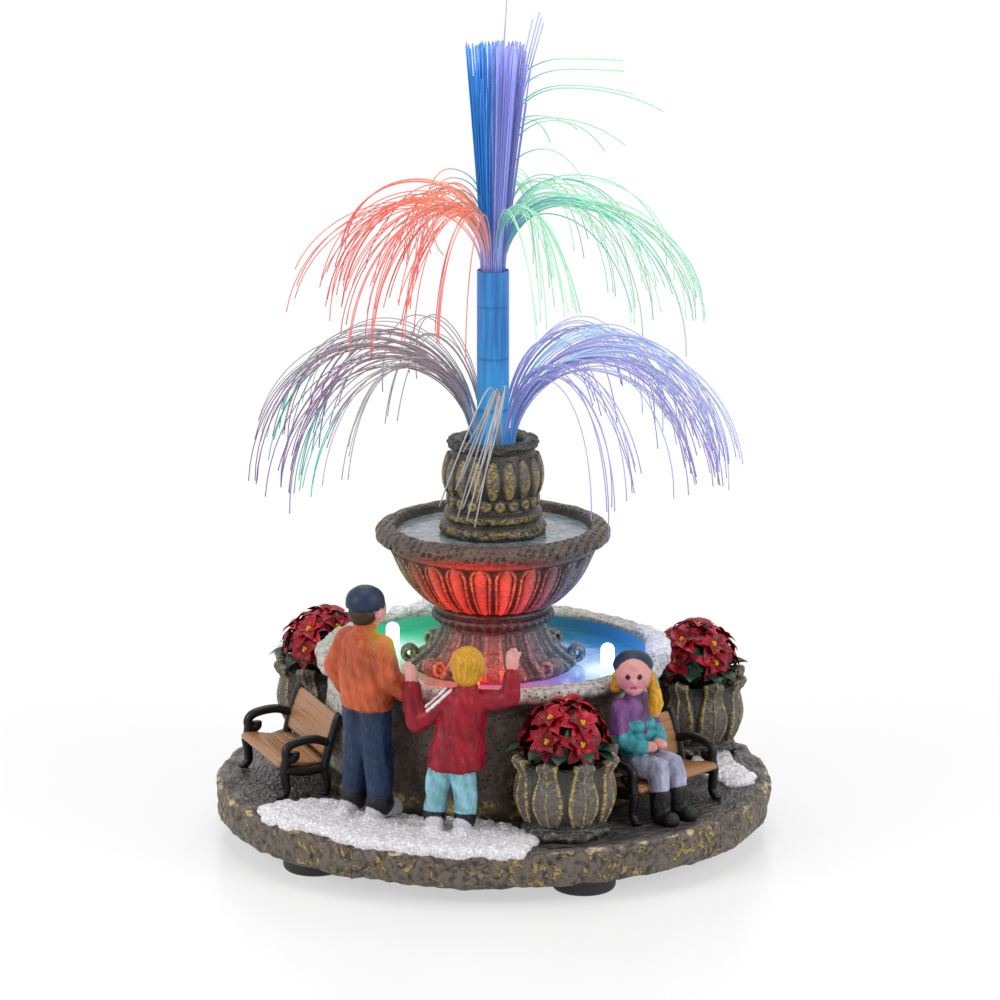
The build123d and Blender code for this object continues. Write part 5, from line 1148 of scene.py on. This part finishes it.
child = Doll(52.6)
for hand in (-1, 1):
    child.limb(PALE_BLUE, (0, 0.052 * hand - 0.012, 0.36, 0.076), (0, 0.076 * hand - 0.006, 0.2, 0.061),
               (-0.004, 0.085 * hand, 0.078, 0.06))
    child.limb(BLACK, (-0.008, 0.085 * hand, 0.066, 0.062), (-0.01, 0.085 * hand, 0.052, 0.06))
    child.limb(FROST, (-0.035, 0.078 * hand, 0.028, 0.052), (0.065, 0.084 * hand, 0.026, 0.046))
child.coat(CRIMSON, ((0.335, 0, -0.03, 0.126, 0.158), (0.42, 0, -0.04, 0.12, 0.148), (0.52, 0, -0.056, 0.11, 0.134),
                     (0.62, 0, -0.074, 0.1, 0.124), (0.7, 0, -0.086, 0.086, 0.116), (0.755, 0, -0.092, 0.06, 0.082)))
child.limb(CRIMSON, (0, 0.005, 0.7, 0.058), (0, 0.11, 0.6, 0.056), (0, 0.18, 0.555, 0.056),
           (0.008, 0.205, 0.66, 0.052), (0.012, 0.212, 0.74, 0.046))
child.limb(CRIMSON, (0, -0.175, 0.705, 0.058), (0, -0.285, 0.715, 0.054), (0, -0.33, 0.735, 0.054),
           (0.008, -0.336, 0.845, 0.045))
for y, z, lean in ((0.214, 0.8, 0.02), (-0.336, 0.915, -0.01)):
    child.ball(SKIN, 0.014, y, z, 0.026, 0.036, 0.054)
    for finger in range(4):
        off = (finger - 1.5) * 0.017
        child.limb(SKIN, (0.014, y + off, z + 0.02, 0.012),
                   (0.014, y + off * 1.25 + lean, z + 0.082 - abs(off), 0.0095))
child.limb(CRIMSON, (-0.01, -0.096, 0.76, 0.052), (-0.004, -0.097, 0.79, 0.054))
child.ball(SKIN, 0.03, -0.1, 0.872, 0.078, 0.076, 0.086)
child.ball(BLOND, -0.008, -0.1, 0.892, 0.088, 0.092, 0.102)
child.ball(BLOND, -0.026, -0.1, 0.838, 0.064, 0.076, 0.056)
for side in (-1, 1):
    child.ball(SKIN, 0.012, -0.1 + 0.088 * side, 0.862, 0.018, 0.014, 0.024)


def child_touch(skin, tints):
    """White stripes along the left sleeve, and the face."""
    for out in (0.052, 0.027):
        for t in np.linspace(-0.3, 0.8, 38):
            spine = (-0.045, 0.005 + 0.11 * t + 0.69 * out, 0.7 - 0.105 * t + 0.724 * out)
            tints = dab(skin, tints, spine, (0.055, 0.0078, 0.0078), WHITE)
    return doll_face(skin, tints, np.array((0.03, -0.1, 0.862)), 0, 0.078)


child.cast("child", facing(CHILD_TURN, (*CHILD_SPOT, SNOW_TOP)), "waving_child", cell=0.3, passes=2,
           touch=child_touch)

girl = Doll(46.5)
for hand in (-1, 1):
    girl.limb(LILAC, (0.02, 0.055 * hand, 0.318, 0.084), (0.25, 0.068 * hand, 0.322, 0.074),
              (0.275, 0.072 * hand, 0.19, 0.062))
    girl.limb(BLACK, (0.28, 0.073 * hand, 0.17, 0.068), (0.284, 0.075 * hand, 0.05, 0.062))
    girl.limb(BLACK, (0.28, 0.075 * hand, 0.036, 0.054), (0.375, 0.084 * hand, 0.032, 0.052))
girl.coat(PURPLE, ((0.34, 0, 0, 0.104, 0.128), (0.44, 0, 0, 0.098, 0.12), (0.56, 0, 0, 0.094, 0.118),
                   (0.66, -0.004, 0, 0.082, 0.112), (0.72, -0.006, 0, 0.056, 0.076)))
for z, x in ((0.4, 0.078), (0.475, 0.076), (0.55, 0.072)):
    for side in (-1, 1):
        girl.ball(TURQUOISE, x, 0.05 * side, z, 0.04, 0.052, 0.044)
        girl.ball(TURQUOISE, x * 0.35, 0.098 * side, z, 0.06, 0.036, 0.044)
for hand in (-1, 1):
    girl.limb(PURPLE, (-0.008, 0.108 * hand, 0.665, 0.062), (0.02, 0.16 * hand, 0.52, 0.056))
    girl.limb(TURQUOISE, (0.02, 0.16 * hand, 0.505, 0.058), (0.09, 0.12 * hand, 0.455, 0.056),
              (0.135, 0.082 * hand, 0.447, 0.05))
    girl.ball(SKIN, 0.17, 0.042 * hand, 0.442, 0.046, 0.04, 0.036)
girl.limb(PURPLE, (0, 0, 0.72, 0.058), (0.004, 0, 0.755, 0.062))
GIRL_LOOK = math.radians(-48)
GIRL_HEART = np.array((0, -0.004, 0.862))


def girl_head(ahead, aside, up):
    """A place on the turned head."""
    turned = Matrix.Rotation(GIRL_LOOK, 3, "Z") @ Vector((ahead, aside, 0))
    return turned[0] + GIRL_HEART[0], turned[1] + GIRL_HEART[1], up + GIRL_HEART[2]


girl.ball(SKIN, *girl_head(0.02, 0, 0), 0.108, 0.108, 0.116)
girl.ball(SKIN, *girl_head(0.126, 0, -0.022), 0.014)
girl.ball(SKIN, *girl_head(0.06, 0, -0.075), 0.06, 0.06, 0.044)
girl.ball(BLOND, *girl_head(-0.026, 0, -0.012), 0.104, 0.106, 0.104)
girl.limb(BLOND, (*girl_head(0.02, 0.104, -0.01), 0.03), (*girl_head(0.03, 0.122, -0.1), 0.036),
          (*girl_head(0.045, 0.13, -0.18), 0.04), (*girl_head(0.05, 0.126, -0.235), 0.026))
girl.limb(BLOND, (*girl_head(0.02, -0.104, -0.01), 0.026), (*girl_head(0, -0.104, -0.09), 0.032))
girl.ball(NAVY, *girl_head(-0.034, 0, 0.048), 0.122, 0.122, 0.092)
girl.coat(NAVY, [(z, *girl_head(-0.03, 0, 0)[:2], r, r) for z, r in ((0.89, 0.116), (0.905, 0.124), (0.92, 0.122))])
girl.cast("girl", RIGHT_BENCH @ Matrix.Translation((-2.4, -7.2, 0)), "seated_girl", cell=0.27, passes=2,
          touch=lambda skin, tints: doll_face(skin, tints, np.array(girl_head(0.02, 0, -0.016)), GIRL_LOOK, 0.106))


# Snow: flattened lumps melted together
def drift(name, node, blobs, cell=0.5):
    """A snow drift of (x, y, z, width, thickness) lumps."""
    clay = Clay()
    for x, y, z, width, thick in blobs:
        clay.ball((x, y, z), (width, width, thick), BARE, 8, 14)
    skin, quads = modelled(clay, cell, 5)
    skin = skin + rough(skin, 3.0, 41)[:, None] * (0, 0, 0.22)
    piece(name, skin, quads, np.full(skin.shape, 0.9), SNOW, node)


def ground_drift(name, node, outline, seed, count, extra=()):
    """Lumps scattered inside an outline of points, and others given one by one."""
    dice = np.random.default_rng(seed)
    corners = np.asarray(outline, float)
    fine = dense(np.vstack([corners, corners[:1]]), 1.0)
    low, high = corners.min(0), corners.max(0)
    blobs = list(extra)
    while len(blobs) < count:
        x, y = dice.uniform(low, high)
        inside = False
        for (ax, ay), (bx, by) in zip(corners, np.roll(corners, -1, 0)):
            if (ay > y) != (by > y) and x < ax + (y - ay) / (by - ay) * (bx - ax):
                inside = not inside
        if inside:
            edge = np.hypot(*(fine - (x, y)).T).min()
            size = min(edge + 0.8, dice.uniform(3.4, 6.0))
            blobs.append((x, y, GROUND + 0.35, size, min(0.9 + 0.3 * size, dice.uniform(1.5, 2.0))))
    drift(name, node, blobs)


heaps = []
for doll, turn, heels in ((BOY_SPOT, BOY_TURN, ((-3.2, 4.7), (-3.2, -5.4))),
                          (CHILD_SPOT, CHILD_TURN, ((-2.6, 4.2), (-2.6, -4.2)))):
    for heel in heels:
        for back, wide, high in ((0.0, 2.7, 2.3), (-1.4, 2.6, 1.9), (1.2, 3.1, 1.7)):
            x, y, _ = moved([(heel[0] + back, heel[1], 0)], facing(turn, (*doll, 0)))[0]
            heaps.append((x, y, SNOW_TOP - 0.5, wide, high))
lip = []
for angle, fall in ((-143, 0.6), (-137, 0.4), (-122, 0.4), (-117, 0.8), (-113, 0.6), (-109, 0.8), (-105, 1.0),
                    (-100, 1.2), (-97, 1.6), (-93, 0.6), (-89, 1.5), (-86, 1.2)):
    for off, width in ((-1.2, 2.0), (0.2, 2.3), (1.5, 1.9)):
        x, y = polar(78.2, angle + off)
        lip.append((x, y, GROUND - fall * 0.6, width, 1.2 + fall * 0.5))
FRONT_SNOW = ((-65.6, -37.7), (-66.0, -41.8), (-61.4, -49.6), (-56.0, -55.6), (-51.4, -58.8), (-44.0, -65.4),
              (-37.0, -70.6), (-30.0, -74.0), (-22.0, -76.6), (-14.0, -78.4), (-6.0, -79.2), (3.0, -79.2),
              (8.4, -78.4), (12.8, -70.2), (8.1, -61.2), (2.4, -54.6), (-5.0, -51.4), (-20.0, -49.0),
              (-36.0, -38.6), (-44.0, -32.6), (-57.0, -32.0))
RIGHT_SNOW = ((64.4, 20.6), (68.4, 18.8), (69.8, 6.2), (75.2, -6.4), (74.0, -14.6), (67.4, -16.6), (64.2, -7.4),
              (60.4, -6.0), (57.4, 2.0), (58.6, 12.0))
ground_drift("drift_front", "snow_front", FRONT_SNOW, 51, 300, heaps + lip)
ground_drift("drift_right", "snow_right", RIGHT_SNOW, 52, 80)
for side, first, last, seed in (("right", -8, 24, 53), ("left", 104, 126, 54)):
    dice = np.random.default_rng(seed)
    lumps = []
    for angle in np.linspace(first, last, 34):
        x, y = polar(dice.uniform(46.0, 49.4), angle + dice.uniform(-1, 1))
        lumps.append((x, y, POOL_TOP + 0.2, dice.uniform(1.8, 2.7), dice.uniform(1.2, 1.7)))
    for angle in np.linspace(first, first + 11, 8):
        x, y = polar(dice.uniform(46.6, 48.4), angle)
        lumps.append((x, y, POOL_TOP + 0.5, dice.uniform(2.8, 3.6), dice.uniform(2.2, 2.9)))
    drift(f"drift_rim_{side}", f"snow_rim_{side}", lumps, 0.4)

# Pieces that keep their CAD shape: those seen by node, those inside by slot
CAD_PAINT = {
    "pool_water": paint_pool_water(),
    "bowl_water": paint_bowl_water(),
    "plume_sleeve": paint_sleeve(),
    "pool_led_right": paint_lamp("led_blue", (0.3, 0.62, 1.0), 1.35),
    "pool_led_left": paint_lamp("led_green", (0.3, 1.0, 0.66), 1.3),
    "pool_led_front": paint_lamp("led_red", (1.0, 0.1, 0.04), 1.2, 0.1),
    "led_clear": paint_lamp("led_clear", (0.9, 0.92, 1.0), 1.0),
    "rubber_feet": paint_plain("foot_rubber", (0.012, 0.012, 0.012), 0.55, 0.0, 0.2),
    "fibre_ferrule": paint_plain("ferrule_dark", (0.03, 0.03, 0.035), 0.5),
    "bottom_cover": paint_plain("cover_plastic", (0.02, 0.02, 0.022), 0.5, 0.0, 0.12, 0.6),
    "battery_door": paint_plain("door_plastic", (0.026, 0.026, 0.028), 0.45, 0.0, 0.12, 0.6),
    "switch_slider": paint_plain("knob_plastic", (0.6, 0.6, 0.58), 0.35),
}
for slot, *looks in (("tray_plastic", (0.03, 0.03, 0.033), 0.5), ("cell_wrap", (0.05, 0.06, 0.075), 0.3, 0.4),
                     ("board_green", (0.015, 0.11, 0.04), 0.35), ("lead_sheath", (0.3, 0.02, 0.02), 0.4),
                     ("switch_plastic", (0.04, 0.04, 0.042), 0.45), ("holder_black", (0.02, 0.02, 0.02), 0.5),
                     ("fibre_core_clear", (0.4, 0.45, 0.55), 0.25), ("steel", (0.55, 0.55, 0.56), 0.35, 1.0)):
    CAD_PAINT[slot] = paint_plain(slot, *looks)
for node, slot in SLOTS.items():
    paint = CAD_PAINT.get(node) or CAD_PAINT.get(slot)
    if paint is not None:
        NODES[node].data.materials.clear()
        NODES[node].data.materials.append(paint)

# Floor, light and camera
scene = bpy.context.scene
scene.view_settings.view_transform = "Standard"


def paint_floor():
    """White acrylic: bare and shaded round the fountain, plain white further off."""
    p = Paint("floor")
    ring = (p.x * p.x + p.y * p.y).math("SQRT")
    p.done((0.9, 0.9, 0.9), 0.22)
    white = p.node("Emission", None, {"Color": (1.0, 1.0, 1.0), "Strength": 1.0})
    share = p.seen() * (0.55 + 0.45 * ring.step(95.0, 240.0))
    blend = p.node("MixShader", None, {0: share, 1: Val(p, p.shader.outputs[0]), 2: white})
    p.feed(p.tree.nodes["Material Output"].inputs["Surface"], blend)
    return p.material


floor_mesh = bpy.data.meshes.new("floor")
floor_mesh.from_pydata([(-3, -3, 0), (3, -3, 0), (3, 3, 0), (-3, 3, 0)], [], [(0, 1, 2, 3)])
floor = bpy.data.objects.new("floor", floor_mesh)
scene.collection.objects.link(floor)
floor.data.materials.append(paint_floor())

world = bpy.data.worlds.new("studio")
scene.world = world
studio = Tree(world)
sky = studio.tree.nodes["Background"]
studio.feed(sky.inputs["Color"], (1.0, 1.0, 1.0))
studio.feed(sky.inputs["Strength"], 0.36 + 0.64 * studio.seen())


def softbox(name, place, target, size, power):
    """A square studio light that looks at a target."""
    light = bpy.data.lights.new(name, "AREA")
    light.size, light.energy = size, power
    obj = bpy.data.objects.new(name, light)
    obj.location = place
    obj.rotation_euler = (Vector(target) - Vector(place)).to_track_quat("-Z", "Y").to_euler()
    scene.collection.objects.link(obj)


softbox("left_box", (-0.9, -0.55, 0.6), (0, 0, 0.08), 0.5, 6.5)
softbox("right_box", (0.9, -0.55, 0.6), (0, 0, 0.08), 0.5, 6.0)
softbox("top_box", (0.0, 0.3, 1.2), (0, 0, 0.1), 0.8, 7.0)

camera = bpy.data.objects.new("camera", bpy.data.cameras.new("camera"))
camera.location = (0, -1.5208, 0.4619)
camera.rotation_euler = (Vector((0, 0, 0.12)) - camera.location).to_track_quat("-Z", "Y").to_euler()
camera.data.lens, camera.data.sensor_width = 196.96, 36
camera.data.shift_x, camera.data.shift_y = 0.007, -0.07975
camera.data.clip_end = 50
scene.collection.objects.link(camera)
scene.camera = camera
